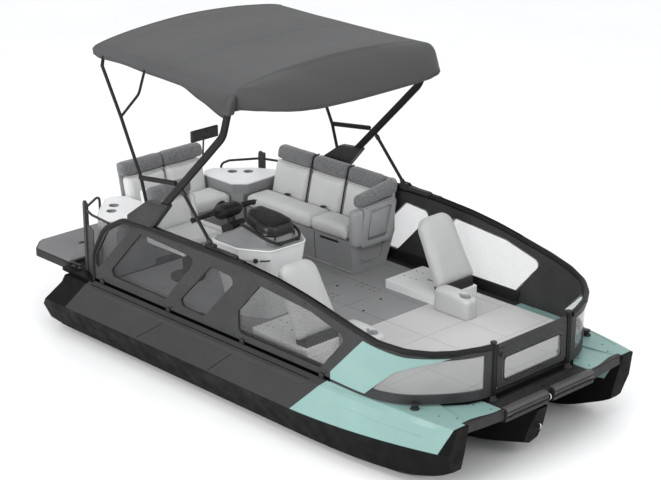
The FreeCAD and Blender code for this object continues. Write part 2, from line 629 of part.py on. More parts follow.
gate = prism([(-GATE_HALF, GATE_LOW_Z), (GATE_HALF, GATE_LOW_Z), (GATE_HALF, GATE_HIGH_Z),
              (-GATE_HALF, GATE_HIGH_Z)], "x", GATE_X - GATE_THICKNESS / 2.0,
             GATE_X + GATE_THICKNESS / 2.0, 30.0)
gate_hole = prism([(-GATE_HALF + GATE_BORDER, GATE_LOW_Z + 48.0), (GATE_HALF - GATE_BORDER, GATE_LOW_Z + 48.0),
                   (GATE_HALF - GATE_BORDER, GATE_HIGH_Z - 92.0), (-GATE_HALF + GATE_BORDER, GATE_HIGH_Z - 92.0)],
                  "x", GATE_X - 50.0, GATE_X + 50.0, 30.0)
gate = gate.cut(gate_hole)
knuckles = []
for z in HINGE_HEIGHTS:
    leaf = box(HINGE_X, GATE_X - GATE_THICKNESS / 2.0 + 1.0, HINGE_Y - 60.0, HINGE_Y - 8.0, z, z + 28.0)
    knuckle = cylinder((HINGE_X, HINGE_Y, z), HINGE_RADIUS, 28.0, (0, 0, 1))
    web = box(HINGE_X - 4.0, HINGE_X + 4.0, HINGE_Y - 60.0, HINGE_Y, z, z + 28.0)
    knuckles.append(fuse([leaf, knuckle, web]))
gate = fuse([gate] + knuckles)
for z in HINGE_HEIGHTS:
    gate = gate.cut(cylinder((HINGE_X, HINGE_Y, z - 1.0), PIN_RADIUS + PIN_CLEARANCE, 32.0, (0, 0, 1)))
latch = box(GATE_X - 20.0, GATE_X + 20.0, -GATE_HALF + 8.0, -GATE_HALF + 78.0, GATE_HIGH_Z - 60.0,
            GATE_HIGH_Z - 20.0)
gate = fuse([gate, latch])
save("bow_gate", gate)
gate_pane = prism([(-GATE_HALF + GATE_BORDER - PANE_LAP, GATE_LOW_Z + 38.0),
                   (GATE_HALF - GATE_BORDER + PANE_LAP, GATE_LOW_Z + 38.0),
                   (GATE_HALF - GATE_BORDER + PANE_LAP, GATE_HIGH_Z - 82.0),
                   (-GATE_HALF + GATE_BORDER - PANE_LAP, GATE_HIGH_Z - 82.0)], "x",
                  GATE_X + GATE_THICKNESS / 2.0, GATE_X + GATE_THICKNESS / 2.0 + PANE_THICKNESS, 24.0)
save("gate_window", gate_pane)

# Stern seating

TABLE_OUTLINE = [(-1881.0, 442.0), (-1500.0, 442.0), (-1397.0, 540.0), (-1410.0, 900.0), (-1530.0, 1000.0),
                 (-1700.0, 900.0), (-1960.0, 620.0), (-1960.0, 520.0)]
CUPS = [(-1760.0, 677.0), (-1658.0, 781.0)]
table = prism(TABLE_OUTLINE, "z", TABLE_Z - TABLE_THICKNESS, TABLE_Z, 40.0)
for x, y in CUPS:
    table = table.cut(cylinder((x, y, TABLE_Z - CUP_DEPTH), CUP_RADIUS, CUP_DEPTH + 1.0, (0, 0, 1)))
save("table_port", table)
save("table_starboard", mirrored(table))

BASE_TOP_Z = SEAT_Z - CUSHION_THICKNESS
TOE = 45.0
bench_mid = prism([(STERN_X + 10.0, DECK_Z - TILE_THICKNESS), (BENCH_FRONT_X - 10.0 - TOE, DECK_Z - TILE_THICKNESS),
                   (BENCH_FRONT_X - 10.0, BASE_TOP_Z), (STERN_X + 10.0, BASE_TOP_Z)],
                  "y", -BENCH_HALF, BENCH_HALF)
corner = prism([(x, y) for x, y in TABLE_OUTLINE], "z", DECK_Z - TILE_THICKNESS, TABLE_Z - TABLE_THICKNESS, 40.0)
corner_base = corner.cut(box(-1397.0 - 30.0, -1300.0, 400.0, 1100.0, 600.0, 1100.0))
corner_base = corner_base.cut(box(-3000.0, -1000.0, 0.0, BENCH_HALF, 0.0, 2000.0))
corner_base = corner_base.cut(box(-3000.0, STERN_X + 2.0, 0.0, 1200.0, 0.0, 700.0))
bench_base = fuse([bench_mid, corner_base, mirrored(corner_base)])
save("bench_base", bench_base)

bench_seat = prism([(BENCH_BACK_X, BASE_TOP_Z + SOFT_GAP), (BENCH_FRONT_X, BASE_TOP_Z + SOFT_GAP),
                    (BENCH_FRONT_X, SEAT_Z), (BENCH_BACK_X, SEAT_Z)],
                   "y", -BENCH_HALF + SOFT_GAP, BENCH_HALF - SOFT_GAP, 35.0)
save("bench_seat", bench_seat)
bench_back = prism([(BENCH_BACK_X - SOFT_GAP, BASE_TOP_Z + SOFT_GAP),
                    (BENCH_BACK_X - SOFT_GAP - BACK_THICKNESS - 10.0, BASE_TOP_Z + SOFT_GAP),
                    (-2030.0, BACK_TOP_Z), (-1915.0, BACK_TOP_Z)], "y", -462.0, 462.0, 42.0)
bench_back = bench_back.cut(box(-2100.0, -1700.0, BENCH_HALF - SOFT_GAP, 600.0, 800.0, TABLE_Z + SOFT_GAP))
bench_back = bench_back.cut(box(-2100.0, -1700.0, -600.0, -BENCH_HALF + SOFT_GAP, 800.0, TABLE_Z + SOFT_GAP))
save("bench_back", bench_back)

# Port lounge

LOUNGE_END_X = -45.0
lounge_base = prism([(532.0, DECK_Z), (925.0, DECK_Z), (1040.0, BASE_TOP_Z), (LOUNGE_FRONT_Y + 12.0, BASE_TOP_Z),
                     (LOUNGE_FRONT_Y + 12.0, 830.0)], "x", LOUNGE_AFT_X + 10.0, LOUNGE_END_X)
recess = prism([(600.0, 690.0), (860.0, 690.0), (905.0, 860.0), (590.0, 860.0)], "x",
               LOUNGE_END_X - 12.0, LOUNGE_END_X + 5.0, 20.0)
lounge_base = lounge_base.cut(recess)
save("lounge_base", lounge_base)
lounge_seat = prism([(LOUNGE_FRONT_Y, BASE_TOP_Z + SOFT_GAP), (LOUNGE_BACK_Y, BASE_TOP_Z + SOFT_GAP),
                     (LOUNGE_BACK_Y, SEAT_Z), (LOUNGE_FRONT_Y, SEAT_Z)],
                    "x", LOUNGE_AFT_X + SOFT_GAP, LOUNGE_FRONT_X, 35.0)
save("lounge_seat", lounge_seat)
ARM_THICKNESS = 95.0
ARM_FOOT_Z = 850.0
lounge_back = prism([(LOUNGE_BACK_Y + SOFT_GAP, BASE_TOP_Z + SOFT_GAP),
                     (LOUNGE_BACK_Y + BACK_THICKNESS + 60.0, BASE_TOP_Z + SOFT_GAP),
                     (1010.0, BACK_TOP_Z), (902.0, BACK_TOP_Z)],
                    "x", LOUNGE_AFT_X + SOFT_GAP, LOUNGE_FRONT_X + SOFT_GAP, 42.0)
save("lounge_back", lounge_back)
arm = prism([(LOUNGE_FRONT_Y + 10.0, ARM_FOOT_Z), (1000.0, ARM_FOOT_Z), (1060.0, BACK_TOP_Z - 40.0),
             (1000.0, BACK_TOP_Z), (930.0, BACK_TOP_Z - 8.0), (600.0, 1325.0), (LOUNGE_FRONT_Y + 8.0, 1290.0),
             (LOUNGE_FRONT_Y + 8.0, 1190.0)],
            "x", LOUNGE_FRONT_X + 2.0 * SOFT_GAP, LOUNGE_FRONT_X + ARM_THICKNESS, 40.0)
arm_recess = prism([(640.0, 910.0), (930.0, 910.0), (980.0, 1230.0), (620.0, 1170.0)], "x",
                   LOUNGE_FRONT_X + ARM_THICKNESS - 14.0, LOUNGE_FRONT_X + ARM_THICKNESS + 5.0, 25.0)
arm = arm.cut(arm_recess).cut(lounge_base)
save("lounge_arm", arm)

# Helm console

RIM = [(-300.0, -330.0), (40.0, -330.0), (280.0, -190.0), (290.0, 180.0), (40.0, 320.0), (-300.0, 320.0)]


def helm_ring(z, grow_x, grow_y, shift, radius):
    corners = [V(shift + x * grow_x, HELM_Y + y * grow_y, z) for x, y in RIM]
    return rounded_path(corners, radius, True)


console = Part.makeLoft([helm_ring(DECK_Z, 0.74, 0.74, -20.0, 60.0),
                         helm_ring(900.0, 0.84, 0.84, -14.0, 60.0),
                         helm_ring(1130.0, 0.97, 0.97, -5.0, 60.0),
                         helm_ring(CONSOLE_RIM_Z, 1.0, 1.0, 0.0, 60.0)], True, False)
pocket = prism([(-120.0, 1040.0), (140.0, 1040.0), (170.0, 1150.0), (-100.0, 1150.0)], "y",
               HELM_Y - 340.0, HELM_Y - 230.0, 25.0)
console = console.cut(pocket)
save("console", console)

CAP_TOP_Z = 1330.0
LID_FRONT_X = 235.0
LID_AFT_X = -225.0
LID_HALF = 165.0
LID_FRONT_Z = 1322.0
LID_AFT_Z = 1400.0
cap_solid = Part.makeLoft([helm_ring(CONSOLE_RIM_Z, 0.95, 0.95, 0.0, 60.0),
                           helm_ring(CAP_TOP_Z - 30.0, 0.86, 0.74, -8.0, 60.0)], True, True)
lid_slope = (LID_AFT_Z - LID_FRONT_Z) / (LID_FRONT_X - LID_AFT_X)
cap_block = prism([(LID_AFT_X - 45.0, CONSOLE_RIM_Z), (LID_FRONT_X + 14.0, CONSOLE_RIM_Z),
                   (LID_FRONT_X + 14.0, LID_FRONT_Z - 2.0), (LID_AFT_X - 45.0, LID_AFT_Z + 4.0)],
                  "y", HELM_Y - LID_HALF + 6.0, HELM_Y + LID_HALF - 6.0)
cap_solid = fuse([cap_solid, cap_block])
bin_space = box(LID_AFT_X + 30.0, LID_FRONT_X - 40.0, HELM_Y - LID_HALF + 40.0, HELM_Y + LID_HALF - 40.0,
                CONSOLE_RIM_Z + 4.0, 1500.0)
cap_solid = cap_solid.cut(bin_space)
grab_low = LID_FRONT_Z - 42.0
grab = tube([(LID_AFT_X + 60.0, HELM_Y - LID_HALF - 30.0, grab_low), (LID_AFT_X + 90.0, HELM_Y - LID_HALF - 36.0, grab_low + 34.0),
             (LID_FRONT_X + 20.0, HELM_Y - LID_HALF + 10.0, grab_low + 12.0),
             (LID_FRONT_X + 52.0, HELM_Y - LID_HALF + 60.0, grab_low + 8.0),
             (LID_FRONT_X + 52.0, HELM_Y + LID_HALF - 60.0, grab_low + 8.0),
             (LID_FRONT_X + 20.0, HELM_Y + LID_HALF - 10.0, grab_low + 12.0),
             (LID_AFT_X + 90.0, HELM_Y + LID_HALF + 36.0, grab_low + 34.0),
             (LID_AFT_X + 60.0, HELM_Y + LID_HALF + 30.0, grab_low)], 11.0, 60.0)
legs = [tube([(LID_FRONT_X + 52.0, HELM_Y + side_y, grab_low + 8.0),
              (LID_FRONT_X - 20.0, HELM_Y + side_y, CONSOLE_RIM_Z + 20.0)], 9.0, 0.0) for side_y in (-90.0, 90.0)]
cap_solid = fuse([cap_solid, grab] + legs)

LID_GAP = 0.4
LID_HINGE_X = LID_FRONT_X + 4.0
LID_HINGE_Z = LID_FRONT_Z + 14.0


def lid_ring(drop, inset):
    points = [(LID_AFT_X + inset, -LID_HALF * 0.7), (LID_AFT_X + 60.0 + inset, -LID_HALF + inset),
              (LID_FRONT_X - 60.0, -LID_HALF + inset), (LID_FRONT_X - inset, -LID_HALF * 0.6),
              (LID_FRONT_X - inset, LID_HALF * 0.6), (LID_FRONT_X - 60.0, LID_HALF - inset),
              (LID_AFT_X + 60.0 + inset, LID_HALF - inset), (LID_AFT_X + inset, LID_HALF * 0.7)]
    corners = [V(x, HELM_Y + y, LID_FRONT_Z + (LID_FRONT_X - x) * lid_slope + LID_GAP + drop) for x, y in points]
    return rounded_path(corners, 50.0, True)


BEAD_HALF = 96.0
lid = Part.makeLoft([lid_ring(0.0, 0.0), lid_ring(26.0, 4.0), lid_ring(56.0, 40.0)], True, True)
bead = cylinder((LID_HINGE_X, HELM_Y - BEAD_HALF, LID_HINGE_Z), 9.0, 2.0 * BEAD_HALF, (0, 1, 0))
lid = fuse([lid, bead])
for sign in (-1, 1):
    lid = lid.cut(cylinder((LID_HINGE_X, HELM_Y + sign * (BEAD_HALF - 16.0), LID_HINGE_Z), 4.0 + PIN_CLEARANCE,
                           40.0, (0, sign, 0)))
save("console_lid", lid)

ears = []
for sign in (-1, 1):
    ear_y = HELM_Y + sign * (BEAD_HALF + 6.0)
    ears.append(cylinder((LID_HINGE_X, ear_y - 4.0, LID_HINGE_Z), 8.0, 8.0, (0, 1, 0)))
    ears.append(box(LID_HINGE_X - 6.0, LID_HINGE_X + 6.0, ear_y - 4.0, ear_y + 4.0, LID_FRONT_Z - 12.0, LID_HINGE_Z))
    ears.append(cylinder((LID_HINGE_X, HELM_Y + sign * (BEAD_HALF - 14.0), LID_HINGE_Z), 4.0, 20.0, (0, sign, 0)))
cap_solid = fuse([cap_solid] + ears)
save("console_cap", cap_solid)

# Handlebar on its inclined column

tilt = math.radians(STEER_TILT)
AXIS = V(-math.sin(tilt), 0.0, math.cos(tilt))
BAR_CENTRE = V(BAR_X, HELM_Y, BAR_Z)
COLUMN_LENGTH = 150.0
column_foot = BAR_CENTRE.sub(V(AXIS).multiply(COLUMN_LENGTH))
column = Part.makeCylinder(34.0, COLUMN_LENGTH - 30.0, column_foot, AXIS)
nacelle = prism([(-300.0, 1140.0), (-300.0, CONSOLE_RIM_Z + 40.0), (-350.0, CONSOLE_RIM_Z + 62.0),
                 (-452.0, 1240.0), (-430.0, 1180.0)], "y", HELM_Y - 75.0, HELM_Y + 75.0)
bar_forward = V(math.cos(tilt), 0.0, math.sin(tilt))


def bar_point(side_y, ahead, rise):
    spot = BAR_CENTRE.add(V(bar_forward).multiply(ahead)).add(V(AXIS).multiply(rise))
    return (spot.x, HELM_Y + side_y, spot.z)


handle = tube([bar_point(-BAR_HALF, -70.0, 10.0), bar_point(-170.0, -20.0, 18.0), bar_point(-80.0, 0.0, 0.0),
               bar_point(80.0, 0.0, 0.0), bar_point(170.0, -20.0, 18.0), bar_point(BAR_HALF, -70.0, 10.0)],
              12.0, 60.0)
grips = []
for sign in (-1, 1):
    inner = V(*bar_point(sign * (BAR_HALF - 125.0), -46.0, 13.9))
    outer = V(*bar_point(sign * BAR_HALF, -70.0, 10.0))
    grips.append(Part.makeCylinder(18.0, inner.distanceToPoint(outer), inner, outer.sub(inner)))
clamp = soft_box(BAR_X - 60.0, BAR_X + 60.0, HELM_Y - 95.0, HELM_Y + 95.0, BAR_Z - 26.0, BAR_Z + 34.0, 20.0)
handlebar = fuse([handle, clamp] + grips)
hub_hole = Part.makeCylinder(34.5, 60.0, BAR_CENTRE.sub(V(AXIS).multiply(90.0)), AXIS)
handlebar = handlebar.cut(hub_hole)
save("handlebar", handlebar)
steering_column = fuse([column.cut(console).cut(cap_solid), nacelle.cut(console).cut(cap_solid)])
save("steering_column", steering_column)

# Helm chair

SHELL_Z = CHAIR_SEAT_Z - 130.0
COLLAR_Z = SHELL_Z - 34.0 - PIN_CLEARANCE
pedestal = fuse([cylinder((CHAIR_X, HELM_Y, DECK_Z), 150.0, 18.0, (0, 0, 1)),
                 cylinder((CHAIR_X, HELM_Y, DECK_Z + 10.0), 46.0, COLLAR_Z - DECK_Z - 10.0, (0, 0, 1)),
                 cylinder((CHAIR_X, HELM_Y, COLLAR_Z - 5.0), 30.0, 60.0, (0, 0, 1))])
save("chair_pedestal", pedestal)
HALF_CHAIR = CHAIR_WIDTH / 2.0
shell = prism([(CHAIR_X + 240.0, SHELL_Z), (CHAIR_X + 250.0, SHELL_Z + 60.0), (CHAIR_X - 195.0, SHELL_Z + 60.0),
               (CHAIR_X - 290.0, CHAIR_TOP_Z - 40.0), (CHAIR_X - 330.0, CHAIR_TOP_Z - 40.0),
               (CHAIR_X - 250.0, SHELL_Z)], "y", HELM_Y - HALF_CHAIR + 12.0, HELM_Y + HALF_CHAIR - 12.0, 20.0)
shell = fuse([shell, cylinder((CHAIR_X, HELM_Y, SHELL_Z - 34.0), 70.0, 40.0, (0, 0, 1))])
shell = shell.cut(cylinder((CHAIR_X, HELM_Y, SHELL_Z - 36.0), 30.0 + PIN_CLEARANCE, 64.0, (0, 0, 1)))
save("chair_shell", shell)
seat_pad = prism([(CHAIR_X + 262.0, SHELL_Z + 60.0 + SOFT_GAP), (CHAIR_X + 262.0, CHAIR_SEAT_Z),
                  (CHAIR_X - 110.0, CHAIR_SEAT_Z), (CHAIR_X - 190.0, CHAIR_TOP_Z),
                  (CHAIR_X - 284.0, CHAIR_TOP_Z), (CHAIR_X - 194.0, SHELL_Z + 60.0 + SOFT_GAP)],
                 "y", HELM_Y - HALF_CHAIR, HELM_Y + HALF_CHAIR, 30.0)
save("chair_cushion", seat_pad)

# Bow backrests, arm pods and their slabs

SLAB_TOP_Z = DECK_Z + SLAB_THICKNESS
SLAB_X = (350.0, 985.0)
REST_FOOT_X = 960.0
REST_FOOT_Z = 772.0
REST_LENGTH = 610.0
lean = math.radians(REST_LEAN)
along = (-math.sin(lean), math.cos(lean))
behind = (-math.cos(lean), -math.sin(lean))


def rest_corner(up, back):
    return (REST_FOOT_X + up * along[0] + back * behind[0], REST_FOOT_Z + up * along[1] + back * behind[1])


rest = prism([rest_corner(0.0, 0.0), rest_corner(REST_LENGTH, 0.0), rest_corner(REST_LENGTH, REST_THICKNESS),
              rest_corner(0.0, REST_THICKNESS)], "y", REST_Y - REST_HALF, REST_Y + REST_HALF, 38.0)
save("bow_backrest_port", rest)
save("bow_backrest_starboard", mirrored(rest))
POD_X = (955.0, 1335.0)
POD_Y = (452.0, 602.0)
pod = prism([(POD_X[0], DECK_Z), (POD_X[1], DECK_Z), (POD_X[1] - 6.0, POD_Z - 22.0), (POD_X[1] - 130.0, POD_Z),
             (POD_X[0] + 20.0, POD_Z)], "y", POD_Y[0], POD_Y[1], 30.0)
POD_CUP = (1248.0, 527.0)
pod = pod.cut(cylinder((POD_CUP[0], POD_CUP[1], POD_Z - 90.0), CUP_RADIUS, 120.0, (0, 0, 1)))
pod_pair = Part.makeCompound([pod, mirrored(pod)])
save("bow_pods", pod_pair)
slab = prism([(SLAB_X[0], POD_Y[0] + 60.0), (SLAB_X[1] - 60.0, POD_Y[0] + 60.0), (SLAB_X[1] - 60.0, POD_Y[1] + 10.0),
              (SLAB_X[1], POD_Y[1] + 10.0), (SLAB_X[1], 975.0), (SLAB_X[0], 975.0)],
             "z", DECK_Z, SLAB_TOP_Z, 25.0)
rest_foot = rest_corner(30.0, 50.0)
bracket_plate = prism([(rest_foot[0] - 60.0, SLAB_TOP_Z - 1.0), (rest_foot[0] + 55.0, SLAB_TOP_Z - 1.0),
                       (rest_foot[0] + 40.0, REST_FOOT_Z + 60.0), (rest_foot[0] - 80.0, REST_FOOT_Z + 60.0)],
                      "y", REST_Y - 170.0, REST_Y + 170.0)
bracket_plate = max(bracket_plate.cut(rest).Solids, key=lambda piece: piece.Volume)
slab = fuse([slab, bracket_plate])
save("bow_slabs", Part.makeCompound([slab, mirrored(slab)]))

# Canopy frame

MAIN_PATH = [(-746.0, frame_z(0.034)), (-30.0, frame_z(0.541)), (190.0, frame_z(0.699)), (262.0, frame_z(0.865))]
main_tube = bar([(x, BIMINI_Y, z) for x, z in MAIN_PATH], MAIN_WIDE, MAIN_THICK, 220.0)
BOW_TOP_Z = CANOPY_Z - 60.0
BOW_RISE = 78.0
CROSS_FOOT_Z = frame_z(0.836)
main_cross = tube([(255.0, BIMINI_Y - 12.0, CROSS_FOOT_Z), (262.0, BIMINI_Y - 64.0, BOW_TOP_Z),
                   (262.0, 0.0, BOW_TOP_Z + BOW_RISE), (262.0, -BIMINI_Y + 64.0, BOW_TOP_Z),
                   (255.0, -BIMINI_Y + 12.0, CROSS_FOOT_Z)], STRUT_RADIUS, 120.0)
main_frame = fuse([main_tube, mirrored(main_tube), main_cross])
save("bimini_main_frame", main_frame)
REAR_PATH = [(-790.0, frame_z(0.132)), (-855.0, frame_z(0.289)), (-1085.0, frame_z(0.618)), (-1310.0, frame_z(0.901))]
rear_tube = tube([(x, BIMINI_Y - 10.0, z) for x, z in REAR_PATH], STRUT_RADIUS, 300.0)
REAR_FOOT_Z = frame_z(0.895)
rear_cross = tube([(-1305.0, BIMINI_Y - 10.0, REAR_FOOT_Z), (-1345.0, BIMINI_Y - 64.0, BOW_TOP_Z + 20.0),
                   (-1345.0, 0.0, BOW_TOP_Z + 20.0 + BOW_RISE), (-1345.0, -BIMINI_Y + 64.0, BOW_TOP_Z + 20.0),
                   (-1305.0, -BIMINI_Y + 10.0, REAR_FOOT_Z)], STRUT_RADIUS, 100.0)
rear_frame = fuse([rear_tube, mirrored(rear_tube), rear_cross])
save("bimini_rear_frame", rear_frame)

FAIRING = [(-1010.0, RAIL_Z - 8.0), (-1006.0, RAIL_Z + 52.0), (-745.0, RAIL_Z + 234.0), (-541.0, RAIL_Z + 253.0),
           (-470.0, RAIL_Z + 261.0), (-711.0, RAIL_Z - 8.0)]
fairing = prism(FAIRING, "y", BIMINI_Y - 30.0, BIMINI_Y + 30.0, 18.0)
fairing = fairing.cut(main_tube).cut(rear_tube).cut(rail)
slider = fuse([box(-30.0, 313.0, BIMINI_Y - 12.0, BIMINI_Y + 26.0, RAIL_Z + 12.0, RAIL_Z + 44.0),
               box(-10.0, 62.0, BIMINI_Y - 22.0, BIMINI_Y + 22.0, RAIL_Z + 8.0, RAIL_Z + 62.0)])
slider = slider.cut(rail)
save("bimini_mounts", Part.makeCompound([fairing, mirrored(fairing), slider, mirrored(slider)]))

front_strut = tube([(26.0, BIMINI_Y, RAIL_Z + 45.0), (-327.0, BIMINI_Y, frame_z(0.305))], STRUT_RADIUS, 0.0)
front_strut = front_strut.cut(slider).cut(main_tube)
link = bar([(-851.0, BIMINI_Y, frame_z(0.289)), (-400.0, BIMINI_Y, frame_z(0.331))], 40.0, 26.0, 0.0)
link = link.cut(main_tube).cut(rear_tube)
brace = tube([(-1085.0, BIMINI_Y - 8.0, frame_z(0.618)), (-836.0, BIMINI_Y - 8.0, frame_z(0.793)),
              (-785.0, BIMINI_Y - 34.0, BOW_TOP_Z - 30.0)], 11.0, 120.0).cut(rear_tube)
braces = [brace, mirrored(brace)]
strut_set = [front_strut, link, brace]
save("bimini_struts", Part.makeCompound(strut_set + [mirrored(piece) for piece in strut_set]))

# Canopy


def canopy_section(y, hem_x):
    """The roof and its sloping visor in one plane along the boat."""
    share = 1.0 - (y / ROOF_HALF) ** 2
    aft_z = CANOPY_Z + CANOPY_CROWN * share
    mid_z = CANOPY_Z - 14.0 + CANOPY_CROWN * share
    fold_z = FOLD_Z + FOLD_CROWN * share
    brow_x = (CANOPY_FRONT_X + hem_x) / 2.0
    brow_z = (fold_z + HEM_Z) / 2.0 + 16.0
    top = [(CANOPY_AFT_X, aft_z), (-600.0, mid_z), (CANOPY_FRONT_X, fold_z), (brow_x, brow_z), (hem_x, HEM_Z)]
    under = [(x - (5.0 if x > CANOPY_FRONT_X else 0.0), z - CANOPY_THICKNESS) for x, z in top]
    ring = [V(x, y, z) for x, z in top + under[::-1]]
    return Part.makePolygon(ring + ring[:1])


ROOF_HALF = CANOPY_HALF - CANOPY_THICKNESS
FOLD_Z = CANOPY_Z - 17.0
FOLD_CROWN = 74.0
HEM_DROP = 167.0
HEM_Z = CANOPY_Z - HEM_DROP
HEM = [(ROOF_HALF, 306.0), (965.0, 410.0), (890.0, 512.0), (810.0, 612.0), (735.0, 700.0), (580.0, 758.0),
       (390.0, 778.0), (180.0, 786.0)]
stations = [(-y, x) for y, x in HEM] + [(0.0, 788.0)] + HEM[::-1]
roof = Part.makeLoft([canopy_section(y, x) for y, x in stations], True, True)
SKIRT_DROPS = [(CANOPY_AFT_X, 3.0), (-600.0, 17.0), (CANOPY_FRONT_X, 20.0), (303.0, HEM_DROP + 8.0), (270.0, 197.0),
               (158.0, 285.0), (-95.0, 197.0), (-330.0, 125.0), (-700.0, 108.0), (-1080.0, 91.0),
               (-1410.0, 95.0), (CANOPY_AFT_X, 55.0)]
skirt = prism([(x, CANOPY_Z - drop) for x, drop in SKIRT_DROPS], "y", CANOPY_HALF - CANOPY_THICKNESS - 2.0, CANOPY_HALF)
canopy = fuse([roof, skirt, mirrored(skirt)])
for piece in [main_frame, rear_frame] + braces:
    canopy = canopy.cut(piece)
save("canopy", canopy)

# Mirror, stern rails and cleats

MIRROR_X = -60.0
MIRROR_Z = frame_z(0.6745)
stalk = tube([(MIRROR_X, -BIMINI_Y + 2.0, frame_z(0.52)), (MIRROR_X, -BIMINI_Y + 16.0, MIRROR_Z - 26.0)], 7.0, 0.0)
stalk = stalk.cut(mirrored(main_tube))
stalk = max(stalk.Solids, key=lambda piece: piece.BoundBox.ZMax)
mirror_panel = soft_box(MIRROR_X - 12.0, MIRROR_X + 12.0, -1190.0, -920.0, MIRROR_Z - 46.0, MIRROR_Z + 46.0, 10.0)
save("mirror", fuse([stalk, mirror_panel]))

stern_rail = tube([(-1290.0, FENCE_Y - 8.0, 1178.0), (-1560.0, 1062.0, 1178.0), (-1735.0, 1000.0, 1178.0),
                   (-1895.0, 760.0, 1175.0), (-1938.0, 695.0, 1150.0), (-1938.0, 695.0, HULL_TOP_Z)], 11.0, 60.0)
stern_post = tube([(-1735.0, 1000.0, HULL_TOP_Z), (-1735.0, 1000.0, 1245.0)], 16.0, 0.0)
filler = prism([(-1735.0, 996.0), (-1735.0, 1004.0), (-1512.0, 1092.0), (-1512.0, 1084.0)], "z", HULL_TOP_Z, 1060.0)
stern_set = fuse([stern_post, stern_rail, filler]).cut(rail).cut(fence)
save("stern_rails", Part.makeCompound([stern_set, mirrored(stern_set)]))

CLEAT_SPOT = (-1850.0, 1040.0)
BOLLARD_SPOT = (bow_x(0.7463), 978.0)


def cleat(x, y, z):
    """A two-horned mooring cleat."""
    return fuse([box(x - 60.0, x + 60.0, y - 16.0, y + 16.0, z, z + 8.0),
                 box(x - 12.0, x + 12.0, y - 9.0, y + 9.0, z + 8.0, z + 30.0),
                 soft_box(x - 70.0, x + 70.0, y - 9.0, y + 9.0, z + 26.0, z + 44.0, 6.0)])


def bollard(x, y, z):
    """A round mooring post with a wider head."""
    return fuse([cylinder((x, y, z - 4.0), 33.0, 12.0, (0, 0, 1)),
                 cylinder((x, y, z + 8.0), 18.0, 24.0, (0, 0, 1)),
                 cylinder((x, y, z + 32.0), 28.0, 13.0, (0, 0, 1))])


moorings = [cleat(*CLEAT_SPOT, HULL_TOP_Z), bollard(*BOLLARD_SPOT, gunwale(BOLLARD_SPOT[0])[1]).cut(cowl)]
save("cleats", Part.makeCompound(moorings + [mirrored(piece) for piece in moorings]))
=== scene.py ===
import bmesh
import bpy
import json
import math
from mathutils import Matrix, Vector, noise
from mathutils.bvhtree import BVHTree


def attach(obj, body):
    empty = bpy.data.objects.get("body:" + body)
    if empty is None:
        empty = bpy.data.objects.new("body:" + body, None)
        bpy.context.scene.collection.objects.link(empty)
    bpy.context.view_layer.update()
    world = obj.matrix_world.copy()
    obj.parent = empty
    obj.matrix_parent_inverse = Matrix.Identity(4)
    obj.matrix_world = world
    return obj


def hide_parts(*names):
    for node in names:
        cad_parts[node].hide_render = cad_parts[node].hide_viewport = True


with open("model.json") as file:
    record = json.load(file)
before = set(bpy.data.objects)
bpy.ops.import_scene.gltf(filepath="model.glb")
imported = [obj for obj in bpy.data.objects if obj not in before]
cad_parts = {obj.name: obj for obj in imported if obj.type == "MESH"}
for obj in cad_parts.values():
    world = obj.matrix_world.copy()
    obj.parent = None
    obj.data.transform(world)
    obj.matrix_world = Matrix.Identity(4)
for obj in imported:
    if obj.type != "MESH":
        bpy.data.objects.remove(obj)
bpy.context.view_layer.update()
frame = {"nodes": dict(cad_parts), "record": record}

NODES = frame["nodes"]
scene = bpy.context.scene

# Camera at the photograph's angle

IMAGE_WIDTH = 661.0
FOCAL_PIXELS = 1893.715
SENSOR_WIDTH = 36.0
CAMERA_PLACE = (10.69917683, -9.99992324, 6.46096889)
AZIMUTH = math.radians(46.295)
ELEVATION = math.radians(20.144)
ROLL = math.radians(-0.217)
back = Vector((math.sin(AZIMUTH) * math.cos(ELEVATION), -math.cos(AZIMUTH) * math.cos(ELEVATION),
    math.sin(ELEVATION)))
level = (-back).cross(Vector((0, 0, 1))).normalized()
upright = level.cross(-back)
right = level * math.cos(ROLL) + upright * math.sin(ROLL)
above = upright * math.cos(ROLL) - level * math.sin(ROLL)
camera_data = bpy.data.cameras.new("camera")
camera_data.sensor_width = SENSOR_WIDTH
camera_data.lens = FOCAL_PIXELS / IMAGE_WIDTH * SENSOR_WIDTH
camera_data.clip_end = 100.0
camera = bpy.data.objects.new("camera", camera_data)
scene.collection.objects.link(camera)
camera.matrix_world = Matrix.Translation(CAMERA_PLACE) @ Matrix((right, above, back)).transposed().to_4x4()
scene.camera = camera
scene.view_settings.view_transform = "Standard"

# Studio


def area_light(name, place, aim, size, power):
    data = bpy.data.lights.new(name, "AREA")
    data.shape = "RECTANGLE"
    data.size = size[0]
    data.size_y = size[1]
    data.energy = power
    lamp = bpy.data.objects.new(name, data)
    scene.collection.objects.link(lamp)
    lamp.location = place
    lamp.rotation_euler = (Vector(aim) - Vector(place)).to_track_quat("-Z", "Y").to_euler()


area_light("key", (4.0, -3.0, 8.0), (0.3, 0.0, 0.8), (6.0, 6.0), 210.0)
area_light("front", (9.0, 3.0, 5.0), (0.5, 0.0, 0.8), (5.0, 4.0), 150.0)
area_light("side", (0.5, -10.0, 4.6), (0.0, 0.0, 1.0), (9.0, 3.5), 620.0)
world = bpy.data.worlds.new("studio")
world.use_nodes = True
backdrop = world.node_tree.nodes["Background"].inputs
backdrop["Color"].default_value = (0.985, 0.99, 1.0, 1.0)
backdrop["Strength"].default_value = 0.99
scene.world = world

# Materials


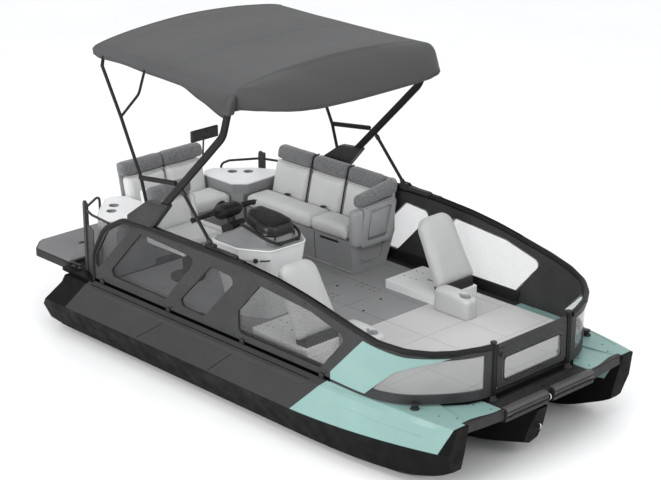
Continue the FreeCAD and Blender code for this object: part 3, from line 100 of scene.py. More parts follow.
class Surface:
    """A procedural material, built up in layers of colour, roughness and relief."""

    def __init__(self, name, colour, rough, metal=0.0, coat=0.0, sheen=0.0, alpha=1.0, soften=0.0,
            shine=0.5):
        self.material = bpy.data.materials.new(name)
        self.material.use_nodes = True
        self.tree = self.material.node_tree
        self.shader = self.tree.nodes["Principled BSDF"].inputs
        for socket, value in (("Base Color", (*colour, 1.0)), ("Roughness", rough), ("Metallic", metal),
                ("Specular IOR Level", shine), ("Coat Weight", coat), ("Coat Roughness", 0.12),
                ("Sheen Weight", sheen), ("Sheen Roughness", 0.5), ("Alpha", alpha)):
            self.shader[socket].default_value = value
        self.base = colour
        self.tone = None
        self.normal = None
        self.spot = self.add("ShaderNodeTexCoord")["Object"]
        if soften:
            self.drive("Normal", self.add("ShaderNodeBevel", {"Radius": soften}, samples=3)["Normal"])

    def add(self, kind, inputs=None, **settings):
        """Add a node, set or link its inputs, and return its outputs."""
        item = self.tree.nodes.new(kind)
        for key, value in settings.items():
            setattr(item, key, value)
        for key, value in (inputs or {}).items():
            if isinstance(value, bpy.types.NodeSocket):
                self.tree.links.new(value, item.inputs[key])
            else:
                item.inputs[key].default_value = value
        return item.outputs

    def drive(self, socket, output):
        """Link an output to the shader, over what drives that socket already."""
        if socket == "Normal":
            self.normal = output
        elif socket == "Base Color":
            self.tone = output
        self.tree.links.new(output, self.shader[socket])

    def warped(self, scale, amount):
        """The position, pushed about by noise."""
        cloud = self.add("ShaderNodeTexNoise", {"Scale": scale, "Vector": self.spot})["Color"]
        return self.add("ShaderNodeVectorMath", {0: cloud, 1: (amount, amount, amount), 2: self.spot},
            operation="MULTIPLY_ADD")["Vector"]

    def times(self, vector, factor):
        return self.add("ShaderNodeVectorMath", {0: vector, 1: factor}, operation="MULTIPLY")["Vector"]

    def axis(self, name, vector=None):
        return self.add("ShaderNodeSeparateXYZ", {"Vector": vector or self.spot})[name]

    def cloud(self, scale, detail=2.0, vector=None):
        return self.add("ShaderNodeTexNoise", {"Scale": scale, "Detail": detail,
            "Vector": vector or self.spot})["Fac"]

    def cells(self, scale, randomness=1.0, vector=None):
        return self.add("ShaderNodeTexVoronoi", {"Scale": scale, "Randomness": randomness,
            "Vector": vector or self.spot})["Distance"]

    def weave(self, scale, axes):
        """Threads that run across each of the axes."""
        woven = None
        for axis in axes:
            thread = self.add("ShaderNodeTexWave", {"Scale": scale, "Vector": self.spot}, wave_type="BANDS",
                bands_direction=axis, wave_profile="SIN")["Fac"]
            woven = thread if woven is None else self.add("ShaderNodeMath", {0: woven, 1: thread},
                operation="MAXIMUM")[0]
        return woven

    def spread(self, value, low, high, new_low=0.0, new_high=1.0):
        return self.add("ShaderNodeMapRange", {"Value": value, "From Min": low, "From Max": high,
            "To Min": new_low, "To Max": new_high})["Result"]

    def mix(self, share, first, second):
        return self.add("ShaderNodeMix", {"Factor": share, "A": first, "B": second},
            data_type="RGBA")["Result"]

    def colour(self, value, low, high, from_low=0.3, from_high=0.7):
        """Shade between two multiples of the base colour by a value."""
        shades = [(*[min(c * factor, 1.0) for c in self.base], 1.0) for factor in (low, high)]
        tone = self.mix(self.spread(value, from_low, from_high), *shades)
        self.drive("Base Color", tone if self.tone is None else self.mix(0.5, self.tone, tone))

    def paint(self, share, colour):
        """Lay another colour over the share of the surface given by a value."""
        self.drive("Base Color", self.mix(share, self.tone or (*self.base, 1.0), (*colour, 1.0)))

    def gloss(self, value, low, high):
        self.drive("Roughness", self.spread(value, 0.3, 0.7, low, high))

    def relief(self, value, depth, strength=1.0):
        """A bump as deep as given, in metres, over what is there already."""
        inputs = {"Strength": strength, "Distance": depth, "Height": value}
        if self.normal is not None:
            inputs["Normal"] = self.normal
        self.drive("Normal", self.add("ShaderNodeBump", inputs)["Normal"])


def gelcoat(name, colour, rough, coat, shine=0.5):
    s = Surface(name, colour, rough, coat=coat, soften=0.004, shine=shine)
    s.colour(s.cloud(1.7, 4.0), 0.9, 1.08)
    s.gloss(s.cloud(9.0, 5.0), rough * 0.8, rough * 1.3)
    s.relief(s.cloud(220.0, 1.0), 0.00012)
    return s.material


def powder(name, colour, rough=0.5, shine=0.25):
    s = Surface(name, colour, rough, soften=0.002, shine=shine)
    s.colour(s.cloud(6.0, 5.0), 0.86, 1.14)
    s.gloss(s.cloud(30.0, 4.0), rough * 0.85, rough * 1.2)
    s.relief(s.cloud(1400.0, 2.0), 0.00012)
    return s.material


def moulded(name, colour, rough=0.45, shine=0.5, grain=0.00012, scale=900.0):
    s = Surface(name, colour, rough, soften=0.003, shine=shine)
    s.colour(s.cloud(2.5, 5.0), 0.93, 1.06)
    s.gloss(s.cloud(14.0, 5.0), rough * 0.85, rough * 1.18)
    s.relief(s.cells(scale), grain)
    s.relief(s.cloud(25.0, 2.0), 0.0002)
    return s.material


def vinyl(name, colour, rough=0.46):
    s = Surface(name, colour, rough, sheen=0.12)
    s.colour(s.cloud(3.0, 6.0), 0.94, 1.05)
    s.gloss(s.cloud(40.0, 4.0), rough * 0.85, rough * 1.15)
    s.relief(s.cells(520.0, vector=s.warped(90.0, 0.004)), 0.00035, 0.5)
    s.relief(s.cloud(18.0, 4.0), 0.0012, 0.5)
    return s.material


def heathered(name, colour):
    s = Surface(name, colour, 0.85, sheen=0.35)
    s.colour(s.cloud(150.0, 4.0, s.times(s.spot, (1.0, 0.45, 1.0))), 0.35, 1.8, 0.38, 0.62)
    s.colour(s.cloud(230.0, 3.0, s.times(s.spot, (0.4, 1.0, 1.0))), 0.4, 1.75, 0.38, 0.62)
    s.relief(s.weave(130.0, "XYZ"), 0.0006, 0.6)
    s.relief(s.cloud(16.0, 4.0), 0.0015, 0.5)
    return s.material


def canopy_cloth(name):
    """Woven cloth, with painted light and shade: paler on top, darker down towards the hem, and a visor
    painted darker.
    """
    s = Surface(name, (0.052, 0.0525, 0.054), 0.85, sheen=0.05)
    # Painted light and shade by height: paler on the roof, darker down the sides and visor towards the hem.
    s.colour(s.axis("Z"), 0.3, 1.25, 2.5, 2.69)
    s.colour(s.cloud(1.3, 4.0), 0.94, 1.12)
    # Painted shade: the visor, ahead of the fold, is mixed towards a darker grey.
    s.paint(s.spread(s.axis("X"), 0.288, 0.294, 0.0, 0.42), (0.022, 0.0223, 0.023))
    s.relief(s.weave(210.0, "XY"), 0.0004, 0.6)
    s.relief(s.cloud(7.0, 4.0), 0.004, 0.35)
    return s.material


def deck_cover(name, colour, speckle):
    s = Surface(name, colour, 0.78)
    s.colour(s.cloud(900.0, 2.0), 1.0 - speckle, 1.0 + speckle * 0.6, 0.38, 0.62)
    s.colour(s.cloud(2.2, 5.0), 0.9, 1.08)
    s.relief(s.cells(118.0, 0.0), 0.0012, 0.9)
    s.relief(s.cloud(1200.0, 2.0), 0.0002, 0.6)
    return s.material


def pierced(name):
    """The side windows' sheet, with rows of small holes and its inner face painted pale as painted light."""
    s = Surface(name, (0.045, 0.046, 0.048), 0.55)
    pitch = 0.0095
    slanted = s.add("ShaderNodeVectorRotate", {"Vector": s.spot, "Angle": math.radians(45.0)},
        rotation_type="Y_AXIS")["Vector"]
    flat = s.add("ShaderNodeCombineXYZ", {"X": s.axis("X", slanted), "Z": s.axis("Z", slanted)})["Vector"]
    holes = s.cells(1.0 / pitch, 0.0, flat)
    s.drive("Alpha", s.spread(holes, 0.485, 0.505))
    s.colour(s.cloud(5.0, 4.0), 0.85, 1.12)
    # Painted light: the face turned inwards, towards the boat's middle, is painted pale.
    facing = s.times(s.add("ShaderNodeNewGeometry")["True Normal"], s.spot)
    s.paint(s.spread(s.axis("Y", facing), -0.01, 0.01, 1.0, 0.0), (0.62, 0.623, 0.625))
    s.relief(holes, 0.0008, 0.5)
    return s.material


def pane(name):
    s = Surface(name, (0.22, 0.223, 0.228), 0.08, alpha=0.3)
    s.gloss(s.cloud(6.0, 4.0), 0.05, 0.16)
    s.relief(s.cloud(2.0, 2.0), 0.0015, 0.2)
    return s.material


def alloy(name, colour, rough):
    s = Surface(name, colour, rough, metal=1.0, soften=0.002)
    s.colour(s.cloud(35.0, 5.0), 0.82, 1.1)
    s.gloss(s.cloud(60.0, 5.0), rough * 0.8, rough * 1.3)
    s.relief(s.cloud(500.0, 3.0), 0.0003)
    return s.material


def two_tone(name, colour, other, edge, soft, rough=0.4, above=False):
    """Moulded plastic whose colour changes at a height."""
    s = Surface(name, colour, rough, soften=0.004)
    s.colour(s.cloud(2.5, 5.0), 0.94, 1.05)
    low, high = (0.0, 1.0) if above else (1.0, 0.0)
    s.paint(s.spread(s.axis("Z"), edge - soft, edge, low, high), other)
    s.gloss(s.cloud(14.0, 5.0), rough * 0.85, rough * 1.18)
    s.relief(s.cells(900.0), 0.00012)
    s.relief(s.cloud(25.0, 2.0), 0.0002)
    return s.material


def floor_surface():
    s = Surface("floor", (0.965, 0.966, 0.968), 0.6)
    s.colour(s.cloud(0.7, 3.0), 0.985, 1.01)
    s.gloss(s.cloud(3.0, 4.0), 0.55, 0.68)
    s.relief(s.cloud(60.0, 4.0), 0.0004, 0.3)
    return s.material


LOOK = {}
for make, name, *values in ((gelcoat, "hull_black", (0.0045, 0.0046, 0.0049), 0.5, 0.0, 0.06),
        (gelcoat, "hull_grey", (0.03, 0.0302, 0.031), 0.42, 0.0, 0.15), (gelcoat, "aqua",
        (0.195, 0.318, 0.297), 0.36, 0.08, 0.3), (powder, "fence_grey", (0.0325, 0.0328, 0.0336), 0.5,
        0.16), (powder, "black_metal", (0.0085, 0.0085, 0.0089), 0.42, 0.15), (pierced, "mesh_panel"),
        (pane, "tinted_pane"), (canopy_cloth, "canopy_cloth"), (vinyl, "vinyl", (0.6, 0.603, 0.603)),
        # Painted shade: the two looks on the next line are darker copies of the seats' vinyl, for the
        # lounge's back pads and the bow backrests.
        (vinyl, "vinyl_back", (0.57, 0.573, 0.573)), (vinyl, "vinyl_rest", (0.4, 0.402, 0.402)),
        (vinyl, "vinyl_grey", (0.3, 0.303, 0.31)), (heathered, "dark_cloth", (0.13, 0.132, 0.136)),
        (moulded, "pale_shell", (0.64, 0.644, 0.646), 0.36),
        (moulded, "grey_shell", (0.27, 0.272, 0.276), 0.5),
        (moulded, "mid_shell", (0.3, 0.303, 0.308), 0.42), (moulded, "black_trim", (0.0125, 0.0125, 0.0133),
        0.5, 0.3), (deck_cover, "deck_dark", (0.25, 0.252, 0.255), 0.25),
        (deck_cover, "deck_light", (0.52, 0.52, 0.512), 0.3),
        (alloy, "cast_alloy", (0.4, 0.41, 0.42), 0.45), (alloy, "bright_steel", (0.62, 0.62, 0.63), 0.22),
        (two_tone, "table_shell", (0.84, 0.843, 0.845), (0.24, 0.242, 0.246), 1.1165, 0.012),
        (two_tone, "slab_shell", (0.74, 0.743, 0.745), (0.02, 0.02, 0.021), 0.7, 0.001, 0.4, True),
        # Painted light and shade on the next line: the pods' look is a darker copy of the pale moulding, and
        # the bumper strips' lighter grey stands in for highlights.
        (moulded, "pod_shell", (0.47, 0.473, 0.475), 0.36), (moulded, "fender", (0.055, 0.0555, 0.057),
        0.45, 0.3), (gelcoat, "hull_ridge", (0.031, 0.0313, 0.0323), 0.42, 0.0, 0.16),
        (moulded, "hood_shell", (0.2, 0.202, 0.206), 0.42), (deck_cover, "swim_cover", (0.17, 0.171, 0.174),
        # Painted shade: on the next line, the dull near-black look for gaps stands in for the shade in gaps
        # and grooves.
        0.25), (moulded, "gap_black", (0.0012, 0.0012, 0.0013), 0.9, 0.0), (moulded, "gloss_trim",
        (0.006, 0.006, 0.0064), 0.3, 0.35, 0.00004), (powder, "engine_paint", (0.04, 0.04, 0.045), 0.4)):
    LOOK[name] = make(name, *values)

for part in frame["record"]["subparts"]:
    node = NODES[part["node"]]
    node.data.materials.clear()
    node.data.materials.append(LOOK[part["material_slot"]])
NODES["stern_rails"].data.materials[0] = LOOK["fence_grey"]
for name in ("table_port", "table_starboard"):
    NODES[name].data.materials[0] = LOOK["table_shell"]
NODES["bow_slabs"].data.materials[0] = LOOK["slab_shell"]

# Making pieces


def finish_piece(piece, look, body="boat"):
    """Give a piece its surface, its shading and the body that carries it."""
    if not piece.data.materials:
        piece.data.materials.append(LOOK[look])
    if piece.type == "MESH":
        piece.data.polygons.foreach_set("use_smooth", [True] * len(piece.data.polygons))
    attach(piece, body)
    return piece


def from_bmesh(name, bm):
    data = bpy.data.meshes.new(name)
    bm.normal_update()
    bm.to_mesh(data)
    bm.free()
    piece = bpy.data.objects.new(name, data)
    scene.collection.objects.link(piece)
    return piece


def settle(piece):
    """Replace a piece's mesh by the one its modifiers give."""
    bpy.context.view_layer.update()
    graph = bpy.context.evaluated_depsgraph_get()
    solved = bpy.data.meshes.new_from_object(piece.evaluated_get(graph), depsgraph=graph)
    piece.modifiers.clear()
    old = piece.data
    piece.data = solved
    bpy.data.meshes.remove(old)
    return piece


def blend8(corners, u, v, w):
    """The point at three shares inside a block given by its eight corners."""
    total = Vector((0, 0, 0))
    for index, corner in enumerate(corners):
        a = u if index & 1 else 1.0 - u
        b = v if index & 2 else 1.0 - v
        c = w if index & 4 else 1.0 - w
        total += Vector(corner) * (a * b * c)
    return total


def block(axis, span, foot, head, z):
    """Corners of a block along X or Y whose other span changes from its foot to its head."""
    corners = []
    for height, other in zip(z, (foot, head)):
        for j in (0, 1):
            for i in (0, 1):
                corners.append((span[i], other[j], height) if axis == "x" else (other[i], span[j], height))
    return corners


def soft_block(corners, radius, crown, pitch=0.02):
    """A bmesh block with rolled edges, whose faces swell by the crown between their corners."""
    sides = [(Vector(corners[1]) - Vector(corners[0])).length,
        (Vector(corners[2]) - Vector(corners[0])).length, (Vector(corners[4]) - Vector(corners[0])).length]
    counts = [max(4, int(side / pitch)) for side in sides]
    bm = bmesh.new()
    found = {}

    def spot(shares):
        key = tuple(round(share, 6) for share in shares)
        if key in found:
            return found[key]
        place = [share * side for share, side in zip(shares, sides)]
        inner = [min(max(p, radius), side - radius) for p, side in zip(place, sides)]
        offset = Vector([p - q for p, q in zip(place, inner)])
        if offset.length > 1e-9:
            offset = offset.normalized() * radius
        swell = [4.0 * share * (1.0 - share) for share in shares]
        final = []
        for axis in range(3):
            others = [swell[k] for k in range(3) if k != axis]
            push = crown * (others[0] * others[1]) ** 0.6 * (2.0 * shares[axis] - 1.0)
            final.append((inner[axis] + offset[axis] + push) / sides[axis])
        found[key] = bm.verts.new(blend8(corners, *final))
        return found[key]

    for axis in range(3):
        one, two = [k for k in range(3) if k != axis]
        for end in (0.0, 1.0):
            for i in range(counts[one]):
                for j in range(counts[two]):
                    quad = []
                    for di, dj in ((0, 0), (1, 0), (1, 1), (0, 1)):
                        shares = [0.0, 0.0, 0.0]
                        shares[axis] = end
                        shares[one] = (i + di) / counts[one]
                        shares[two] = (j + dj) / counts[two]
                        quad.append(spot(shares))
                    if (end == 0.0) == (axis != 1):
                        quad.reverse()
                    bm.faces.new(quad)
    bmesh.ops.recalc_face_normals(bm, faces=bm.faces)
    return bm


def puff(piece, cap, voxel=0.012):
    """Blow a closed piece up as stuffed cloth, and hold every point within the cap."""
    remesh = piece.modifiers.new("remesh", "REMESH")
    remesh.mode = "VOXEL"
    remesh.voxel_size = voxel
    settle(piece)
    start = [vertex.co.copy() for vertex in piece.data.vertices]
    cloth = piece.modifiers.new("cloth", "CLOTH")
    frames = 20
    cloth.settings.quality = 4
    cloth.settings.use_pressure = True
    cloth.settings.uniform_pressure_force = 4.0
    cloth.settings.tension_stiffness = 15
    cloth.settings.compression_stiffness = 15
    cloth.settings.bending_stiffness = 0.5
    cloth.settings.effector_weights.gravity = 0.0
    cloth.collision_settings.use_collision = False
    cloth.point_cache.frame_end = frames
    for step in range(1, frames + 1):
        scene.frame_set(step)
    settle(piece)
    scene.frame_set(1)
    for vertex, origin in zip(piece.data.vertices, start):
        moved = vertex.co - origin
        if moved.length > cap:
            vertex.co = origin + moved.normalized() * cap
    return piece


def refine(piece, levels=1):
    smooth = piece.modifiers.new("smooth", "SUBSURF")
    smooth.levels = levels
    smooth.render_levels = levels
    return settle(piece)


def stitch(piece, seams):
    """Sink sewn lines into a soft piece. A seam is an axis, its place, depth, width and the side it faces."""
    data = piece.data
    normals = [vertex.normal.copy() for vertex in data.vertices]
    for axis, place, depth, width, facing in seams:
        facing = Vector(facing)
        for vertex, normal in zip(data.vertices, normals):
            away = (vertex.co[axis] - place) / width
            if abs(away) < 3.0 and normal.dot(facing) > 0.25:
                vertex.co -= normal * (depth * math.exp(-away * away))
    data.update()
    return piece


def cushion(name, corners, look, radius=0.03, crown=0.006, cap=0.008, seams=(), body="boat", voxel=0.012):
    piece = from_bmesh(name, soft_block(corners, radius, crown))
    puff(piece, cap, voxel=voxel)
    refine(piece)
    stitch(piece, seams)
    finish_piece(piece, look, body)
    return piece


def cord_line(name, points, radius, look="black_trim", body="boat", closed=False, smooth=True):
    """A round bead, wire or tube along a path."""
    data = bpy.data.curves.new(name, "CURVE")
    data.dimensions = "3D"
    data.bevel_depth = radius
    data.bevel_resolution = 3
    spline = data.splines.new("NURBS" if smooth else "POLY")
    spline.points.add(len(points) - 1)
    for spot, point in zip(spline.points, points):
        spot.co = (*point, 1.0)
    if smooth:
        spline.order_u = 3
        spline.use_endpoint_u = not closed
    spline.use_cyclic_u = closed
    data.use_fill_caps = True
    piece = bpy.data.objects.new(name, data)
    scene.collection.objects.link(piece)
    return finish_piece(piece, look, body)


def ease(piece, angle=32.0):
    """Shade a piece smooth but for its sharp edges."""
    piece.data.polygons.foreach_set("use_smooth", [True] * len(piece.data.polygons))
    piece.data.set_sharp_from_angle(angle=math.radians(angle))
    return piece


def rounded_outline(points, radius, steps=5):
    """A closed outline whose corners turn on arcs."""
    result = []
    for index, point in enumerate(points):
        corner = Vector(point)
        back = Vector(points[index - 1]) - corner
        ahead = Vector(points[(index + 1) % len(points)]) - corner
        turn = math.pi - back.angle(ahead)
        if turn < 0.03 or radius <= 0.0:
            result.append(corner)
            continue
        reach = min(radius * math.tan(turn / 2.0), 0.45 * min(back.length, ahead.length))
        used = reach / math.tan(turn / 2.0)
        first = corner + back.normalized() * reach
        last = corner + ahead.normalized() * reach
        inwards = (back.normalized() + ahead.normalized()).normalized()
        middle = corner + inwards * (used / math.cos(turn / 2.0))
        for step in range(steps + 1):
            result.append(middle + (first.lerp(last, step / steps) - middle).normalized() * used)
    return result


def rect(a, b, c, d):
    """A rectangle's outline between two opposite corners."""
    return [(a, b), (c, b), (c, d), (a, d)]


def outward(sign, low, high):
    """A span across the boat, mirrored for the starboard side."""
    return (low, high) if sign > 0.0 else (-high, -low)


def on_axis(axis, point, station):
    if axis == "x":
        return Vector((station, point[0], point[1]))
    if axis == "y":
        return Vector((point[0], station, point[1]))
    return Vector((point[0], point[1], station))


def panel(name, outline, axis, low, high, look="black_trim", body="boat", radius=0.0, bevel=0.002,
        holes=()):
    """A plate whose normal is the axis, with rounded corners, eased rims and openings."""
    bm = bmesh.new()
    rims = []
    for ring in [rounded_outline(outline, radius)] + [rounded_outline(hole, radius) for hole in holes]:
        verts = [bm.verts.new(on_axis(axis, point, low)) for point in ring]
        rims += [bm.edges.new((verts[i - 1], verts[i])) for i in range(len(verts))]
    bmesh.ops.triangle_fill(bm, use_beauty=True, use_dissolve=False, edges=rims)
    bmesh.ops.recalc_face_normals(bm, faces=bm.faces)
    grown = bmesh.ops.extrude_face_region(bm, geom=list(bm.faces))
    move = on_axis(axis, (0.0, 0.0), high - low)
    bmesh.ops.translate(bm, vec=move, verts=[item for item in grown["geom"]
        if isinstance(item, bmesh.types.BMVert)])
    bmesh.ops.recalc_face_normals(bm, faces=bm.faces)
    if bevel:
        sharp = [edge for edge in bm.edges if edge.is_manifold and edge.calc_face_angle() > 1.2]
        bmesh.ops.bevel(bm, geom=sharp, offset=bevel, segments=2, profile=0.5, affect="EDGES",
            clamp_overlap=True)
    return ease(finish_piece(from_bmesh(name, bm), look, body))


def lathe(bm, centre, direction, profile, steps):
    """Turn a profile of radii and heights about an axis into a bmesh."""
    turn = Vector(direction).to_track_quat("Z", "Y").to_matrix()
    rings = []
    for radius, height in profile:
        if radius < 1e-6:
            rings.append([bm.verts.new(Vector(centre) + turn @ Vector((0, 0, height)))])
            continue
        ring = []
        for step in range(steps):
            angle = 2.0 * math.pi * step / steps
            ring.append(bm.verts.new(Vector(centre) + turn @ Vector((radius * math.cos(angle),
                radius * math.sin(angle), height))))
        rings.append(ring)
    for first, second in zip(rings, rings[1:]):
        for step in range(steps):
            after = (step + 1) % steps
            corners = [first[step % len(first)], first[after % len(first)], second[after % len(second)],
                second[step % len(second)]]
            bm.faces.new(list(dict.fromkeys(corners)))
    for ring, inwards in ((rings[0], True), (rings[-1], False)):
        if len(ring) > 1:
            bm.faces.new(ring[::-1] if inwards else ring)
    return bm


def turned(name, centre, direction, profile, look="black_trim", body="boat", steps=28):
    bm = lathe(bmesh.new(), centre, direction, profile, steps)
    bmesh.ops.recalc_face_normals(bm, faces=bm.faces)
    return ease(finish_piece(from_bmesh(name, bm), look, body))


def fasteners(name, places, body="boat", size=0.007):
    """Domed screw heads with a driver recess, each a point and the direction that it faces."""
    bm = bmesh.new()
    for place, facing in places:
        lathe(bm, place, facing, [(size, -0.001), (size, size * 0.18), (size * 0.86, size * 0.42),
            (size * 0.5, size * 0.6), (size * 0.42, size * 0.6), (size * 0.36, size * 0.3),
            (0.0, size * 0.3)], 12)
    bmesh.ops.recalc_face_normals(bm, faces=bm.faces)
    return ease(finish_piece(from_bmesh(name, bm), "black_trim", body))


def loft(name, rings, look="black_trim", body="boat", levels=0, angle=32.0):
    """A skin over closed rings of equal count, one after another."""
    bm = bmesh.new()
    rows = [[bm.verts.new(point) for point in ring] for ring in rings]
    for first, second in zip(rows, rows[1:]):
        for step in range(len(first)):
            bm.faces.new((first[step - 1], first[step], second[step], second[step - 1]))
    bm.faces.new(rows[0][::-1])
    bm.faces.new(rows[-1])
    bmesh.ops.recalc_face_normals(bm, faces=bm.faces)
    piece = from_bmesh(name, bm)
    if levels:
        refine(piece, levels)
    return ease(finish_piece(piece, look, body), angle)


# Canopy

SIDES = (("port", 1.0), ("starboard", -1.0))
EDGE_Y = 1.043
HALF_WIDTH = 1.038
AFT_X = -1.505
FOLD_X = 0.29
FOLD_SHARE = 0.7
HEM_LINE = [(0.0, 0.788), (0.18, 0.786), (0.39, 0.778), (0.58, 0.762), (0.735, 0.716), (0.81, 0.664),
    (0.89, 0.582), (0.965, 0.474), (1.038, 0.33)]
SKIRT_LINE = [(-1.505, 2.612), (-1.41, 2.572), (-1.08, 2.576), (-0.7, 2.559), (-0.33, 2.542),
    (-0.095, 2.47), (0.158, 2.382), (0.27, 2.47), (0.303, 2.492)]
BOW_STATIONS = (AFT_X, -1.345, -0.785, 0.262)


def along_line(line, value):
    """The second number of a list of pairs, read smoothly between them."""
    for (a, first), (b, second) in zip(line, line[1:]):
        if value <= b:
            share = max(0.0, (value - a) / (b - a))
            share = share * share * (3.0 - 2.0 * share) * 0.4 + share * 0.6
            return first + (second - first) * share
    return line[-1][1]


def roof_point(x_share, y):
    """A point of the cloth's middle from the aft edge (0) over the fold (0.7) to the visor's hem (1)."""
    across = max(0.0, 1.0 - (y / HALF_WIDTH) ** 2)
    corner = (abs(y) / HALF_WIDTH) ** 10
    hem_x = along_line(HEM_LINE, abs(y))
    fold_z = 2.65 + 0.074 * across
    if x_share <= FOLD_SHARE:
        x = AFT_X + (FOLD_X - AFT_X) * x_share / FOLD_SHARE
        if x < -0.6:
            z = 2.667 - 0.014 * (x - AFT_X) / 0.905 + 0.09 * across
        else:
            share = (x + 0.6) / 0.89
            z = (2.653 + 0.09 * across) * (1.0 - share) + fold_z * share
        sag = 0.0
        for first, second in zip(BOW_STATIONS, BOW_STATIONS[1:]):
            if first <= x <= second:
                span = (x - first) / (second - first)
                sag = (second - first) * 0.011 * math.sin(math.pi * span) ** 2
        z -= sag * (0.12 + 0.88 * across)
    else:
        share = (x_share - FOLD_SHARE) / 0.3
        bulge = 4.0 * share * (1.0 - share)
        x = FOLD_X + (hem_x - FOLD_X) * share + 0.1 * bulge * (abs(y) / HALF_WIDTH) ** 4
        fuller = min(max((abs(y) - 0.3) / 0.45, 0.0), 1.0)
        z = fold_z + (2.5 - fold_z) * share + (0.017 + 0.042 * fuller * fuller * (3.0 - 2.0 * fuller)) * bulge
        round_off = max(0.0, 1.0 - share / 0.22)
        z -= 0.01 * round_off ** 2
    z -= 0.012 * corner + 0.006
    ripple = noise.noise(Vector((x * 2.3, y * 2.3, 0.0))) * 0.004
    ripple += noise.noise(Vector((x * 7.0, y * 5.0, 3.0))) * 0.0015
    return Vector((x, y, z + ripple))


def canopy_sheet():
    columns = 64
    rows_to_fold = 42
    rows = 60
    drop_rows = rows - rows_to_fold
    bm = bmesh.new()
    ys = [HALF_WIDTH * math.sin(math.pi / 2.0 * (2.0 * c / columns - 1.0)) * 0.35
        + HALF_WIDTH * (2.0 * c / columns - 1.0) * 0.65 for c in range(columns + 1)]
    top = []
    for r in range(rows + 1):
        share = FOLD_SHARE * r / rows_to_fold
        if r > rows_to_fold:
            share = FOLD_SHARE + 0.3 * (r - rows_to_fold) / drop_rows
        top.append([bm.verts.new(roof_point(share, y)) for y in ys])
    for r in range(rows):
        for c in range(columns):
            bm.faces.new((top[r][c], top[r + 1][c], top[r + 1][c + 1], top[r][c + 1]))
    hem_rows = []
    for side, c in ((-1.0, 0), (1.0, columns)):
        skirt = []
        for r in range(rows_to_fold):
            edge = top[r][c].co
            hem = along_line(SKIRT_LINE, edge.x)
            column = [top[r][c]]
            for d in range(1, drop_rows + 1):
                share = d / drop_rows
                wave = 0.004 * math.sin(edge.x * 9.0 + side) * share
                bulge = 0.006 * math.sin(math.pi * min(1.0, share * 1.6))
                column.append(bm.verts.new((edge.x, side * (EDGE_Y + bulge) + wave, edge.z
                    + (hem - edge.z) * share)))
            skirt.append(column)
        skirt.append([top[rows_to_fold + d][c] for d in range(drop_rows + 1)])
        for first, second in zip(skirt, skirt[1:]):
            for d in range(drop_rows):
                bm.faces.new((first[d], second[d], second[d + 1], first[d + 1]))
        hem_rows.append([column[-1] for column in skirt])
    pinned = {vert for vert in hem_rows[0] + hem_rows[1] + top[-1] if vert.co.x > -1.4}
    bent = [vert for vert in bm.verts
        if vert not in pinned and (abs(vert.co.y) > 0.965 or vert.co.x < -1.46)]
    for _ in range(14):
        bmesh.ops.smooth_vert(bm, verts=bent, factor=0.5, use_axis_x=True, use_axis_y=True, use_axis_z=True)
    bmesh.ops.recalc_face_normals(bm, faces=bm.faces)
    bm.normal_update()
    return bm, [[vert.co.copy() for vert in row] for row in top], [[vert.co.copy() for vert in row]
        for row in hem_rows]


canopy_bm, canopy_rows, canopy_hems = canopy_sheet()
canopy_area = sum(face.calc_area() for face in canopy_bm.faces)
canopy = from_bmesh("canopy_cloth", canopy_bm)
thick = canopy.modifiers.new("thick", "SOLIDIFY")
thick.thickness = 0.003
thick.offset = 0.0
settle(canopy)
finish_piece(canopy, "canopy_cloth")
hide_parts("canopy")
hem_paths = (("starboard", canopy_hems[0], (0.0, 0.0, 0.0)), ("port", canopy_hems[1], (0.0, 0.0, 0.0)),
    ("front", canopy_rows[-1], (0.0, 0.0, 0.004)), ("aft", canopy_rows[0], (0.002, 0.0, 0.0)))
hems = [cord_line("canopy_hem_" + side, [point + Vector(shift) for point in row], 0.0055, "canopy_cloth")
    for side, row, shift in hem_paths]
lift = Vector((0.0, 0.0, 0.0015))
seam_rows = [[point + lift for point in canopy_rows[row][1:-1]] for row in (5, 24, 42)]
seam_rows += [[row[column] + lift for row in canopy_rows] for column in (2, 62)]
seams = [cord_line("canopy_seam_%d" % number, row, 0.0009, "canopy_cloth")
    for number, row in enumerate(seam_rows, 1)]

# The pockets that hold the main frame's tops: height, middle, half length, inner and outer side
POCKET = [(2.43, 0.2465, 0.038, 1.04, 1.1025), (2.446, 0.2515, 0.0385, 1.038, 1.104),
    (2.5, 0.268, 0.038, 1.036, 1.103), (2.54, 0.276, 0.034, 1.034, 1.09), (2.57, 0.28, 0.028, 1.032, 1.066),
    (2.588, 0.282, 0.018, 1.03, 1.048)]
for side, sign in SIDES[::-1]:
    rings = []
    for z, middle, half, inner, outer in POCKET:
        plan = rounded_outline(rect(middle - half, inner, middle + half, outer),
            min(0.014, half * 0.5, (outer - inner) * 0.45))
        rings.append([Vector((x, sign * y, z)) for x, y in plan])
    loft("canopy_pocket_%s" % side, rings, "canopy_cloth", levels=1)

# Port lounge

LOUNGE_X = ((-1.39, -0.935), (-0.927, -0.492), (-0.484, -0.104))
SEAT_X = ((-1.39, -0.546), (-0.558, -0.104))

